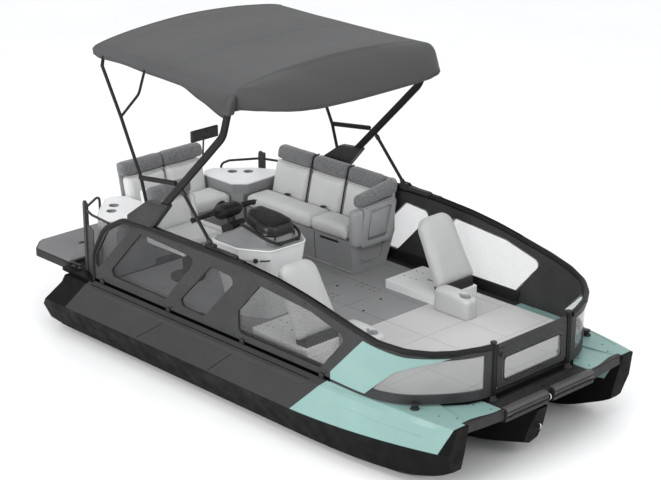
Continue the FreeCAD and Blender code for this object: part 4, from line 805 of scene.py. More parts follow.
for number, x in enumerate(SEAT_X, 1):
    cushion("lounge_seat_pad_%d" % number, block("x", x, (0.503, 0.776), (0.503, 0.776),
        (0.919, 1.028)), "vinyl", radius=0.036, crown=0.004, cap=0.007,
        seams=[(1, 0.648, 0.003, 0.005, (0, 0, 1)), (1, 0.538, 0.0035, 0.005, (0, 0, 1)),
        (2, 0.948, 0.003, 0.005, (0, -1, 0)), (0, -0.955, 0.003, 0.004, (0, 0, 1))])
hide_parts("lounge_seat")
for number, x in enumerate((-1.124, -0.661), 1):
    panel("lounge_pull_%d" % number, rect(x - 0.024, 1.026, x + 0.024, 1.037), "y", 0.752, 0.786,
        radius=0.004, bevel=0.0015)
for number, x in enumerate(LOUNGE_X, 1):
    # Painted shade: the back pads take a darker copy of the seats' vinyl.
    cushion("lounge_back_pad_%d" % number, block("x", x, (0.79, 0.955), (0.872, 0.985),
        (0.925, 1.278)), "vinyl_back", radius=0.032, crown=0.006, cap=0.009,
        seams=[(2, 1.258, 0.003, 0.004, (0, -1, 0))])
    cushion("lounge_bolster_%d" % number, block("x", x, (0.872, 0.99), (0.906, 1.0),
        (1.288, 1.405)), "dark_cloth", radius=0.036, crown=0.005, cap=0.008)
    for line, (y, z) in enumerate(((0.872, 1.285), (0.869, 1.272)), 1):
        cord_line("lounge_welt_%d_%d" % (number, line), [(x[0] + 0.012, y + 0.02, z), (x[0] + 0.03, y, z),
            (x[1] - 0.03, y, z), (x[1] - 0.012, y + 0.02, z)], 0.0035, "vinyl")
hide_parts("lounge_back")
# Painted shade: black cords along the gaps between the back pads stand in for the shade in those gaps.
for number, x in enumerate((-0.931, -0.488), 1):
    cord_line("lounge_gap_shade_%d" % number, [(x, 0.798, 0.94), (x, 0.872, 1.255), (x, 0.879, 1.283),
        (x, 0.886, 1.305), (x, 0.908, 1.388), (x, 0.928, 1.406), (x, 0.985, 1.402)], 0.006)
panel("lounge_back_board", [(0.957, 0.925), (1.004, 0.925), (1.009, 1.385), (0.992, 1.385)], "x", -1.389,
    -0.012, "grey_shell", bevel=0.004)

# The lounge's arm

ARM_LOW, ARM_HIGH = -0.098, -0.008


def arm_block(y, z_front, z_back):
    return [(x, y[j], (z_front, z_back)[j][k]) for k in (0, 1) for j in (0, 1) for x in (ARM_LOW, ARM_HIGH)]


arm_top = cushion("lounge_arm_bolster", arm_block((0.566, 1.05), (1.208, 1.318), (1.24, 1.392)),
    "dark_cloth", radius=0.04, crown=0.004, cap=0.006)
cushion("lounge_arm_roll", arm_block((0.512, 0.64), (0.868, 1.196), (0.862, 1.2)), "vinyl_grey",
    radius=0.036, crown=0.003, cap=0.004)
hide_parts("lounge_arm")
ARM_OUTER = [(0.59, 0.856), (0.952, 0.856), (1.024, 1.222), (0.64, 1.196)]
ARM_INNER = [(0.664, 0.9), (0.912, 0.9), (0.972, 1.176), (0.706, 1.16)]
panel("lounge_arm_frame", ARM_OUTER, "x", -0.042, -0.006, "mid_shell", radius=0.03, bevel=0.006,
    holes=[ARM_INNER])
panel("lounge_arm_core", [(0.6, 0.925), (0.96, 0.925), (1.02, 1.225), (0.64, 1.205)], "x", -0.096, -0.024,
    "grey_shell", radius=0.02, bevel=0.004)
panel("lounge_arm_inlay", [(0.69, 0.925), (0.89, 0.925), (0.945, 1.15), (0.728, 1.135)], "x", -0.026, -0.02,
    "mid_shell", radius=0.02, bevel=0.002)
for number, (low, high) in enumerate((((0.7, 1.178), (0.76, 1.196)), ((0.9, 1.195), (0.985, 1.215))), 1):
    panel("lounge_arm_latch_%d" % number, [low, (high[0], low[1] + 0.006), high, (low[0], high[1] - 0.004)],
        "x", -0.03, 0.0, "mid_shell", radius=0.005, bevel=0.002)

# Lounge base trim

panel("lounge_base_slit", [(-0.44, 0.874), (-0.195, 0.879), (-0.205, 0.897), (-0.42, 0.894)], "y", 0.5095,
    0.516, radius=0.007, bevel=0.0008)
cord_line("lounge_base_seam", [(-0.5, 0.5105, 0.913), (-0.5, 0.5105, 0.832), (-0.5, 0.5295, 0.64)], 0.0018,
    smooth=False)
panel("lounge_base_foot", rect(-1.38, 0.632, -0.043, 0.652), "y", 0.523, 0.536, "grey_shell", bevel=0.003)
cord_line("lounge_base_rib", [(-0.0455, 0.64, 0.735), (-0.0455, 0.672, 0.712), (-0.0455, 0.836, 0.712),
    (-0.0455, 0.862, 0.8)], 0.0045, "mid_shell")
panel("lounge_base_hook", rect(0.862, 0.838, 0.905, 0.884), "x", -0.046, -0.028, radius=0.006)

# Stern bench

bench = []
for side, y in (("starboard", (-0.434, -0.003)), ("port", (0.003, 0.434))):
    seat = cushion("bench_seat_pad_" + side, block("y", y, (-1.788, -1.496), (-1.788, -1.496),
        (0.919, 1.028)), "vinyl", radius=0.03, crown=0.004, cap=0.007,
        seams=[(0, -1.53, 0.0035, 0.005, (0, 0, 1)), (0, -1.64, 0.003, 0.005, (0, 0, 1)),
        (2, 0.948, 0.003, 0.005, (1, 0, 0))])
    wide = (y[0] - 0.024, y[1]) if side == "starboard" else (y[0], y[1] + 0.024)
    lower = cushion("bench_back_pad_" + side, block("y", y, (-1.9, -1.796), (-1.976, -1.878),
        (0.925, 1.278)), "vinyl", radius=0.032, crown=0.006, cap=0.009,
        seams=[(2, 1.258, 0.003, 0.004, (1, 0, 0))])
    band = cushion("bench_bolster_" + side, block("y", wide, (-2.0, -1.88), (-2.014, -1.914),
        (1.288, 1.405)), "dark_cloth", radius=0.036, crown=0.005, cap=0.008)
    for line, (x, z) in enumerate(((-1.882, 1.285), (-1.879, 1.272)), 1):
        cord_line("bench_welt_%s_%d" % (side, line), [(x - 0.02, y[0] + 0.012, z), (x, y[0] + 0.03, z),
            (x, y[1] - 0.03, z), (x - 0.02, y[1] - 0.012, z)], 0.0035, "vinyl")
    bench += [seat, lower, band]
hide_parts("bench_seat")
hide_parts("bench_back")
panel("bench_back_board", [(-1.936, 0.925), (-1.918, 0.925), (-2.01, 1.385), (-2.026, 1.385)], "y", -0.434,
    0.434, "grey_shell", bevel=0.004)

# Helm chair

chair_seat = cushion("chair_seat_pad", block("y", (-0.7, -0.31), (-1.15, -0.73), (-1.15, -0.73),
    (0.996, 1.054)), "vinyl", radius=0.026, crown=0.004, cap=0.006, body="chair",
    seams=[(1, -0.62, 0.003, 0.005, (0, 0, 1)), (1, -0.39, 0.003, 0.005, (0, 0, 1)),
    (0, -0.8, 0.003, 0.005, (0, 0, 1))])
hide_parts("chair_cushion")
for side, y in (("starboard", (-0.744, -0.706)), ("port", (-0.304, -0.266))):
    cushion("chair_seat_side_" + side, block("y", y, (-1.16, -0.735), (-1.16, -0.745), (0.992, 1.074)),
        "vinyl", radius=0.018, crown=0.003, cap=0.004, body="chair", voxel=0.01)
cushion("chair_back_pad", block("y", (-0.7, -0.31), (-1.202, -1.112), (-1.258, -1.17), (1.03, 1.284)),
    "vinyl", radius=0.034, crown=0.005, cap=0.007, body="chair", seams=[(1, -0.62, 0.003, 0.005, (1, 0, 0)),
    (1, -0.39, 0.003, 0.005, (1, 0, 0))])
for side, y in (("starboard", (-0.744, -0.704)), ("port", (-0.306, -0.266))):
    cushion("chair_back_side_" + side, block("y", y, (-1.205, -1.092), (-1.262, -1.15), (1.02, 1.284)),
        "vinyl", radius=0.018, crown=0.003, cap=0.004, body="chair", voxel=0.01)
cushion("chair_headrest", block("y", (-0.728, -0.282), (-1.264, -1.156), (-1.268, -1.176), (1.29, 1.414)),
    "dark_cloth", radius=0.04, crown=0.005, cap=0.007, body="chair")

# Bow backrests

LEAN = math.radians(28.0)
ALONG = Vector((-math.sin(LEAN), 0.0, math.cos(LEAN)))
BEHIND = Vector((-math.cos(LEAN), 0.0, -math.sin(LEAN)))
REST_FOOT = Vector((0.96, 0.0, 0.772))
REST_OUTLINE = [(-0.219, 0.006), (0.219, 0.006), (0.186, 0.604), (-0.186, 0.604)]


def rest_ring(inset, depth):
    """The backrest's outline drawn in by the inset, at a depth behind its face."""
    low = rounded_outline(REST_OUTLINE, 0.03, 4)[:10]
    high = rounded_outline(REST_OUTLINE, 0.115, 6)[14:]
    return [((across * (1.0 - inset / 0.2), 0.305 + (up - 0.305) * (1.0 - inset / 0.3)), depth)
        for across, up in low + high]


for side, sign in SIDES:
    rings = []
    for inset, depth in ((0.12, 0.0), (0.06, 0.002), (0.03, 0.006), (0.014, 0.012), (0.004, 0.022),
            (0.0, 0.036), (0.0, 0.07), (0.004, 0.08), (0.014, 0.09), (0.034, 0.096), (0.12, 0.097)):
        ring = []
        for (across, up), behind in rest_ring(inset, depth):
            spot = REST_FOOT + ALONG * up + BEHIND * behind
            ring.append((spot.x, sign * 0.775 + across, spot.z))
        rings.append(ring)
    # Painted shade: the backrests take a darker copy of the seats' vinyl.
    rest = loft("bow_backrest_pad_" + side, rings, "vinyl_rest")
    puff(rest, 0.008)
    refine(rest)
    finish_piece(rest, "vinyl_rest")
    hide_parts("bow_backrest_" + side)

# Rays onto the solids

TREES = {}


def hit(node, origin, direction):
    """Where a ray meets a CAD node's mesh, and the way that its surface faces there."""
    if node not in TREES:
        data = NODES[node].data
        faces = [list(face.vertices) for face in data.polygons]
        TREES[node] = BVHTree.FromPolygons([vertex.co for vertex in data.vertices], faces)
    point, normal, _, _ = TREES[node].ray_cast(Vector(origin), Vector(direction).normalized())
    if point is None:
        raise ValueError("nothing of %s from %s" % (node, origin))
    return point, normal


def along_surface(node, points, direction, lift=0.0):
    """Points dropped onto a CAD node along a direction, and lifted off it."""
    result = []
    for point in points:
        place, normal = hit(node, point, direction)
        result.append(place + normal * lift)
    return result


# Helm

HELM = Vector((0.0, -0.505, 0.0))


def slope_z(x):
    return 1.3224 + (0.235 - x) * 0.16957


def top_z(node, x, y):
    """How high a solid's upper face is at a place."""
    return hit(node, (x, y, 1.5), (0, 0, -1))[0].z


def lid_outline(inset):
    points = [(-0.158 + inset, -0.062), (-0.105 + inset, -0.122 + inset), (0.07, -0.158 + inset),
        (0.18, -0.158 + inset), (0.235 - inset, -0.099), (0.235 - inset, 0.099), (0.18, 0.158 - inset),
        (0.07, 0.158 - inset), (-0.105 + inset, 0.122 - inset), (-0.158 + inset, 0.062)]
    return rounded_outline(points, 0.05, 6)


def spokes(count):
    """Unit vectors at even angles."""
    angles = [2.0 * math.pi * step / count for step in range(count)]
    return [Vector((math.cos(angle), math.sin(angle))) for angle in angles]


def polar(outline, count, centre=(0.0, 0.0)):
    """An outline read at even angles about a centre."""
    result = []
    for away in spokes(count):
        best = 0.0
        for index in range(len(outline)):
            a = Vector(outline[index - 1]) - Vector(centre)
            b = Vector(outline[index]) - Vector(centre)
            side = b - a
            cross = away.x * side.y - away.y * side.x
            if abs(cross) < 1e-12:
                continue
            reach = (a.x * side.y - a.y * side.x) / cross
            share = (a.x * away.y - a.y * away.x) / cross
            if -1e-6 <= share <= 1.0 + 1e-6 and reach > best:
                best = reach
        result.append(Vector(centre) + away * best)
    return result


def lid_ring_at(inset, rise):
    return [Vector((p.x, HELM.y + p.y, slope_z(p.x) + rise)) for p in polar(lid_outline(inset), 96)]


dome = loft("console_dome", [lid_ring_at(i, r) for i, r in ((0.012, 0.0), (0.002, 0.003), (0.0, 0.008),
    (0.002, 0.014), (0.005, 0.02), (0.007, 0.034), (0.011, 0.052), (0.019, 0.07), (0.032, 0.082),
    (0.05, 0.089), (0.068, 0.093), (0.09, 0.095))], "gloss_trim", "lid")
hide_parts("console_lid")
loft("console_dome_inlay", [lid_ring_at(i, r) for i, r in ((0.038, 0.081), (0.038, 0.0855), (0.042, 0.089),
    (0.052, 0.0925), (0.07, 0.0955), (0.092, 0.097))], body="lid")
turned("console_dome_bead", (0.239, -0.601, 1.336), (0, 1, 0), [(0.0045, 0.0), (0.0075, 0.001),
    (0.009, 0.004), (0.009, 0.188), (0.0075, 0.191), (0.0045, 0.192)], body="lid")

RIM = [(-0.3, -0.33), (0.04, -0.33), (0.28, -0.19), (0.29, 0.18), (0.04, 0.32), (-0.3, 0.32)]


def rim_ring(z, grow, count=96):
    outline = rounded_outline([(x * grow, y * grow) for x, y in RIM], 0.06, 6)
    return [Vector((p.x, HELM.y + p.y, z)) for p in polar(outline, count)]


def mixed(first, second, share, rise):
    return [a.lerp(b, share) + Vector((0, 0, rise)) for a, b in zip(first, second)]


foot_ring = rim_ring(1.24, 0.955)
neck_ring = lid_ring_at(-0.004, -0.006)
hood_rings = [foot_ring, rim_ring(1.246, 0.95)]
hood_rings += [mixed(foot_ring, neck_ring, share, rise) for share, rise in ((0.12, 0.004), (0.36, -0.01),
    (0.6, -0.024), (0.8, -0.032), (0.95, -0.034))]
hood_rings += [lid_ring_at(inset, rise) for inset, rise in ((0.001, -0.03), (0.004, -0.01), (0.007, -0.003),
    (0.022, -0.003), (0.028, -0.008))]
bin_foot = [Vector((p.x * 0.96, HELM.y + (p.y - HELM.y) * 0.96, 1.252)) for p in lid_ring_at(0.03, -0.008)]
hood = loft("console_hood", hood_rings + [bin_foot], "hood_shell")
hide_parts("console_cap")
RAIL_HALF = [(-0.112, 0.142, 1.352), (-0.098, 0.168, 1.374), (0.0, 0.18, 1.366), (0.12, 0.182, 1.344),
    (0.215, 0.172, 1.318), (0.272, 0.135, 1.296), (0.29, 0.09, 1.289), (0.291, 0.045, 1.288)]
RAIL_POINTS = [(x, -y, z) for x, y, z in RAIL_HALF] + [(0.291, 0.0, 1.288)] + RAIL_HALF[::-1]
cord_line("console_grab", [(x, HELM.y + y, z) for x, y, z in RAIL_POINTS], 0.012)
for number, y in enumerate((-0.09, 0.09), 1):
    cord_line("console_grab_leg_%d" % number, [(0.288, HELM.y + y, 1.288), (0.262, HELM.y + y, 1.276),
        (0.215, HELM.y + y, 1.258)], 0.009)
    turned("console_grab_block_%d" % number, (0.292, HELM.y + y - 0.016, 1.288), (0, 1, 0), [(0.01, 0.0),
        (0.0165, 0.003), (0.0175, 0.016), (0.0165, 0.029), (0.01, 0.032)])
    ear_y = HELM.y + (0.102 if number == 2 else -0.102)
    turned("console_hinge_ear_%d" % number, (0.239, ear_y - 0.004, 1.336), (0, 1, 0), [(0.003, 0.0),
        (0.0075, 0.0005), (0.008, 0.002), (0.008, 0.006), (0.0075, 0.0075), (0.003, 0.008)])
    panel("console_hinge_stand_%d" % number, [(0.233, 1.304), (0.245, 1.304), (0.244, 1.334),
        (0.234, 1.334)], "y", ear_y - 0.004, ear_y + 0.004, radius=0.002, bevel=0.001)
cord_line("console_lip", [Vector((p.x, p.y, 1.2385)) for p in rim_ring(1.24, 1.004, 48)], 0.0085,
    "pale_shell", closed=True)
for number, (x, y) in enumerate(((-0.262, -0.272), (-0.262, 0.262)), 1):
    fasteners("console_screw_%d" % number, [((x, HELM.y + y, top_z("console_cap", x, HELM.y + y) + 0.002),
        (0, 0, 1))], size=0.006)
place, facing = hit("console", (0.19, -0.82, 1.15), (-0.35, 1.0, 0.0))
turned("console_knob", place, facing, [(0.021, -0.002), (0.021, 0.004), (0.017, 0.007), (0.0165, 0.016),
    (0.014, 0.019), (0.006, 0.02), (0.005, 0.017), (0.0, 0.017)])
level_side = Vector((0, 0, 1)).cross(facing).normalized()
slot_rows = [place + level_side * share + Vector((0, 0, 0.012 * (share - 0.03) / 0.1))
    for share in (0.035, 0.06, 0.09, 0.118)]
cord_line("console_slot", [hit("console", point + facing * 0.05, -facing)[0] + facing * 0.001
    for point in slot_rows], 0.0065)

TILT = math.radians(28.0)
BAR_AXIS = Vector((-math.sin(TILT), 0.0, math.cos(TILT)))
BAR_AHEAD = Vector((math.cos(TILT), 0.0, math.sin(TILT)))
BAR = Vector((-0.44, -0.505, 1.362))
POD_CORNERS = ((-0.022, -0.012), (-0.022, 0.012), (-0.012, 0.022), (0.012, 0.022), (0.024, 0.012),
    (0.024, -0.012), (0.012, -0.022), (-0.012, -0.022))
POD_ROWS = ((0.132, -0.02, 0.004, 0.75), (0.138, -0.021, 0.004, 1.0), (0.182, -0.036, 0.002, 1.0),
    (0.19, -0.039, 0.001, 0.75))


def bar_spot(y, ahead, rise):
    return BAR + BAR_AHEAD * ahead + BAR_AXIS * rise + Vector((0.0, y, 0.0))


def bar_ring(rise, half, aft, fore, radius=0.02):
    outline = rounded_outline([(aft, -half * 0.8), (aft + 0.02, -half), (fore - 0.02, -half),
        (fore, -half * 0.7), (fore, half * 0.7), (fore - 0.02, half), (aft + 0.02, half),
        (aft, half * 0.8)], radius, 3)
    return [bar_spot(p.y, p.x, rise) for p in outline]


loft("bar_cowl", [bar_ring(*row) for row in ((-0.056, 0.07, -0.05, 0.05), (-0.05, 0.08, -0.06, 0.06),
    (-0.025, 0.1, -0.085, 0.082), (0.005, 0.106, -0.092, 0.088), (0.03, 0.102, -0.092, 0.074),
    (0.048, 0.094, -0.086, 0.054), (0.062, 0.084, -0.076, 0.034), (0.068, 0.07, -0.064, 0.022))],
    body="handlebar")
screen_face = (BAR_AXIS * 0.86 - BAR_AHEAD * 0.5).normalized()
turned("bar_gauge", bar_spot(-0.018, -0.052, 0.052), screen_face, [(0.046, 0.0), (0.05, 0.004),
    (0.05, 0.017), (0.047, 0.021), (0.043, 0.021), (0.041, 0.017)], body="handlebar", steps=40)
turned("bar_gauge_face", bar_spot(-0.018, -0.052, 0.052), screen_face, [(0.0405, 0.01), (0.0405, 0.0165),
    (0.0, 0.0175)], "tinted_pane", "handlebar", 40)
for side, sign in SIDES:
    inner = bar_spot(sign * 0.2, -0.0455, 0.0139)
    outer = bar_spot(sign * 0.338, -0.0715, 0.0098)
    reach = (outer - inner).length
    profile = [(0.013, 0.0), (0.0225, 0.002), (0.0235, 0.006), (0.02, 0.01)]
    for step in range(12):
        start = 0.014 + step * 0.0088
        profile += [(0.0192, start), (0.0202, start + 0.0022), (0.0202, start + 0.0048),
            (0.0192, start + 0.007)]
    profile += [(0.0205, reach - 0.012), (0.0238, reach - 0.009), (0.0238, reach - 0.003), (0.018, reach)]
    turned("bar_grip_" + side, inner, outer - inner, profile, body="handlebar", steps=24)
    cord_line("bar_lever_" + side, [bar_spot(sign * 0.15, -0.002, 0.026),
        bar_spot(sign * 0.19, 0.028, 0.026), bar_spot(sign * 0.25, 0.026, 0.022),
        bar_spot(sign * 0.315, -0.006, 0.014)], 0.0062, body="handlebar")
    pod_rings = [[bar_spot(sign * y, a + grow * ca, 0.013 + r + grow * cr) for ca, cr in POD_CORNERS]
        for y, a, r, grow in POD_ROWS]
    loft("bar_pod_" + side, pod_rings, body="handlebar")
    turned("bar_button_" + side, bar_spot(sign * 0.16, -0.032, 0.036), BAR_AXIS, [(0.009, 0.0),
        (0.009, 0.004), (0.0075, 0.006), (0.0, 0.0065)], "mid_shell", "handlebar", 20)

# Side fences

TRACK = [(1.078, 1.292), (1.118, 1.292), (1.118, 1.306), (1.111, 1.306), (1.111, 1.301), (1.104, 1.301),
    (1.104, 1.306), (1.092, 1.306), (1.092, 1.301), (1.085, 1.301), (1.085, 1.306), (1.078, 1.306)]
CLAMPS = (-1.384, -0.507, 0.401, 1.301)
for side, sign in SIDES:
    panel("rail_track_" + side, [(sign * y, z) for y, z in TRACK], "x", -0.7, 0.43, "black_metal",
        bevel=0.0008)
    # Painted shade: a near-black strip along the fence's foot stands in for the shade in the gap under the
    # fence.
    panel("fence_foot_shade_strip_" + side, rect(-1.5, 0.619, 1.388, 0.644), "y", *outward(sign, 1.1092, 1.1165),
        "gap_black", bevel=0.002)
    # Painted shade: a near-black cord sunk into the rail's groove stands in for the shade in it.
    groove = [(x, sign * 1.098, 2.0) for x in (0.44, 0.62, 0.8, 0.95, 1.1, 1.22, 1.34)]
    cord_line("rail_groove_" + side, along_surface("rail_" + side, groove, (0, 0, -1), -0.0035), 0.0085,
        "gap_black")
    bolts = []
    for number, x in enumerate(CLAMPS, 1):
        panel("fence_clamp_%s_%d" % (side, number), [(x - 0.026, 0.617), (x + 0.026, 0.617),
            (x + 0.022, 0.66), (x - 0.022, 0.66)], "y", *outward(sign, 1.1092, 1.121), radius=0.006,
            bevel=0.0025)
        bolts += [((x - 0.012, sign * 1.121, 0.632), (0, sign, 0)),
            ((x + 0.012, sign * 1.121, 0.632), (0, sign, 0))]
    for x, z in ((-1.452, 0.69), (-0.47, 0.672), (0.15, 0.668), (0.3, 0.668), (1.345, 0.68), (-0.96, 1.236),
            (-0.33, 1.232), (0.42, 1.235), (0.76, 1.218), (1.12, 1.165), (-1.38, 1.02)):
        bolts.append(((x, sign * 1.109, z), (0, sign, 0)))
    for x in (0.005, 0.047):
        bolts.append(((x, sign * 1.102, 1.316), (0, sign, 0)))
    for x in (0.11, 0.2, 0.29):
        bolts.append(((x, sign * 1.106, 1.307), (0, sign, 0)))
    for x, z in ((-0.851, 1.6804), (-0.4, 1.7384)):
        bolts += [((x, sign * 1.093, z), (0, sign, 0)), ((x, sign * 1.067, z), (0, -sign, 0))]
    for x, z in ((-0.96, 1.3), (-0.76, 1.31), (-0.56, 1.48)):
        bolts.append(((x, sign * 1.11, z), (0, sign, 0)))
    fasteners("fence_bolts_" + side, bolts)
    panel("kick_band_" + side, [(-0.17, 0.632), (1.33, 0.632), (1.352, 0.716), (-0.15, 0.716)], "y",
        *outward(sign, 1.0765, 1.0828), radius=0.01, bevel=0.002)
    for number in range(4):
        z = 0.636 + 0.0205 * number
        panel("kick_rib_%s_%d" % (side, number + 1), rect(-0.16, z, 1.326 + 0.005 * number, z + 0.014), "y",
            *outward(sign, 1.0695, 1.0775), radius=0.005, bevel=0.0025)
    panel("slider_plate_" + side, [(-0.03, 1.292), (0.33, 1.292), (0.33, 1.312), (0.09, 1.328),
        (0.07, 1.345), (-0.018, 1.345), (-0.03, 1.33)], "y", *outward(sign, 1.1025, 1.1065), "black_metal",
        radius=0.006, bevel=0.0015)
    panel("fairing_step_" + side, [(-0.992, 1.286), (-0.72, 1.286), (-0.5, 1.52), (-0.56, 1.516),
        (-0.732, 1.498), (-0.99, 1.326)], "y", *outward(sign, 1.1095, 1.1135), "fence_grey", radius=0.012,
        bevel=0.002)
    turned("rail_end_" + side, (0.308, sign * 1.087, 1.307), (1, 0, 0), [(0.016, 0.0), (0.02, 0.004),
        (0.02, 0.022), (0.014, 0.03), (0.0, 0.031)])
    strut_low, strut_high = Vector((0.026, sign * 1.08, 1.324)), Vector((-0.327, sign * 1.08, 1.7023))
    for number, share in enumerate((0.07, 0.93), 1):
        turned("strut_collar_%s_%d" % (side, number), strut_low.lerp(strut_high, share), strut_high
            - strut_low, [(0.0145, -0.02), (0.019, -0.016), (0.019, 0.016), (0.0145, 0.02)])

# Gate and posts

POST_X, POST_Y, POST_REACH = 2.388, 0.424, 0.0245
for side, sign in SIDES:
    turned("post_cap_" + side, (POST_X, sign * POST_Y, 1.035), (0, 0, 1), [(0.0232, -0.006),
        (0.0255, -0.004), (0.0255, 0.004), (0.021, 0.009), (0.0, 0.0105)])
    turned("post_foot_" + side, (POST_X, sign * POST_Y, 0.576), (0, 0, 1), [(0.045, 0.0), (0.045, 0.006),
        (0.034, 0.012), (0.027, 0.03), (0.0235, 0.04)])
    for number, angle in enumerate((-0.85, 0.45), 1):
        x, y = POST_X + POST_REACH * math.cos(angle), sign * (POST_Y + POST_REACH * math.sin(angle))
        cord_line("post_strip_%s_%d" % (side, number), [(x, y, 0.66), (x, y, 0.99)], 0.003, smooth=False)
WINDOW = rect(-0.318, 0.715, 0.318, 0.886)
panel("gate_border", rect(-0.334, 0.699, 0.334, 0.902), "x", 2.4052, 2.4085, body="gate", radius=0.03,
    bevel=0.001, holes=[WINDOW])
gate_bolts = [((2.4085, y, z), (1, 0, 0)) for y in (-0.326, 0.326) for z in (0.728, 0.8, 0.873)]
gate_bolts += [((2.401, y, z), (1, 0, 0)) for y in (-0.372, 0.372) for z in (0.68, 0.965)]
fasteners("gate_bolts", gate_bolts, body="gate", size=0.0065)
turned("gate_pull", (2.401, -0.352, 0.925), (1, 0, 0), [(0.02, 0.0), (0.02, 0.004), (0.012, 0.007),
    (0.011, 0.014), (0.019, 0.017), (0.019, 0.022), (0.0, 0.024)], body="gate")
cord_line("gate_cap_rail", [(POST_X, -0.385, 0.99), (POST_X, 0.385, 0.99)], 0.0165, "fence_grey", "gate",
    smooth=False)
for number, y in enumerate((-0.12, 0.06), 1):
    panel("gate_notch_%d" % number, [(y, 0.69), (y + 0.05, 0.69), (y + 0.044, 0.7), (y + 0.006, 0.7)], "x",
        2.4015, 2.4068, body="gate", radius=0.003, bevel=0.001)

# Bow platform

# Painted highlight: the bumper's brow and front strips take a lighter grey than its black trim, standing in
# for the highlights along them.
for number, (y0, y1) in enumerate(((-0.497, -0.037), (0.037, 0.497)), 1):
    panel("fender_brow_%d" % number, [(2.548, 0.5895), (2.585, 0.588), (2.5985, 0.5745), (2.6035, 0.5725),
        (2.6035, 0.577), (2.588, 0.5925), (2.548, 0.594)], "y", y0, y1, "fender", bevel=0.001)
    panel("fender_face_%d" % number, [(2.594, 0.556), (2.6035, 0.556), (2.6035, 0.54), (2.594, 0.536)], "y",
        y0, y1, "fender", bevel=0.002)
for number, z in enumerate((0.5205, 0.5455), 1):
    face = [hit("bow_platform", (3.2, y, z), (-1, 0, 0))[0] + Vector((0.0015, 0, 0))
        for y in (-0.44, -0.22, -0.05)]
    for side, sign in SIDES[::-1]:
        cord_line("bumper_rib_%d_%s" % (number, side), [(p.x, -sign * p.y, p.z) for p in face], 0.0045,
            smooth=False)
for side, sign in SIDES:
    rings = []
    for y, back_x, low, high in ((0.503, 2.564, 0.504, 0.5885), (0.56, 2.56, 0.505, 0.5885),
            (0.64, 2.548, 0.506, 0.5885), (0.72, 2.526, 0.508, 0.5885), (0.8, 2.51, 0.511, 0.588),
            (0.89, 2.512, 0.514, 0.587)):
        face = 2.581 - 0.068 * (y - 0.503)
        rings.append([(face - 0.006, sign * y, low), (face, sign * y, low + 0.006),
            (face, sign * y, high - 0.008), (face - 0.008, sign * y, high), (back_x, sign * y, high),
            (back_x, sign * y, low)])
    loft("fender_wing_" + side, rings)
spots = [(2.448, -0.25), (2.449, 0.37), (2.52, -0.41), (2.52, 0.41)]
fasteners("platform_screws", [((x, y, top_z("bow_platform", x, y)), (0, 0, 1)) for x, y in spots],
    size=0.01)
top = top_z("bow_platform", 2.478, 0.061)
panel("platform_latch", rect(2.458, 0.036, 2.498, 0.086), "z", top - 0.001, top + 0.006, radius=0.008,
    bevel=0.002)
panel("platform_latch_bar", rect(2.47, 0.02, 2.484, 0.102), "z", top, top + 0.011, radius=0.006,
    bevel=0.002)
for number, x in enumerate((2.432, 2.535), 1):
    z = top_z("bow_platform", x, 0.25)
    for side, y in (("port", (0.1, 0.39)), ("starboard", (-0.39, -0.02))):
        cord_line("platform_line_%d_%s" % (number, side), [(x, y[0], z), (x, y[1], z)], 0.0028,
            "fence_grey", smooth=False)

# Swim platform

SWIM_EDGE = [(-1.975, -1.022), (-2.443, -1.022), (-2.582, -0.883), (-2.582, 0.883), (-2.443, 1.022),
    (-1.975, 1.022)]
SWIM_SLOTS = [[(-2.2895, sign * 0.5605), (-2.2895, sign * 0.6995), (-2.2455, sign * 0.6995),
    (-2.2455, sign * 0.5605)] for sign in (-1.0, 1.0)]
swim_cover = panel("swim_cover", SWIM_EDGE, "z", 0.6302, 0.6438, "swim_cover", radius=0.021, bevel=0.005,
    holes=SWIM_SLOTS)
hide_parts("swim_pad")

# Hulls

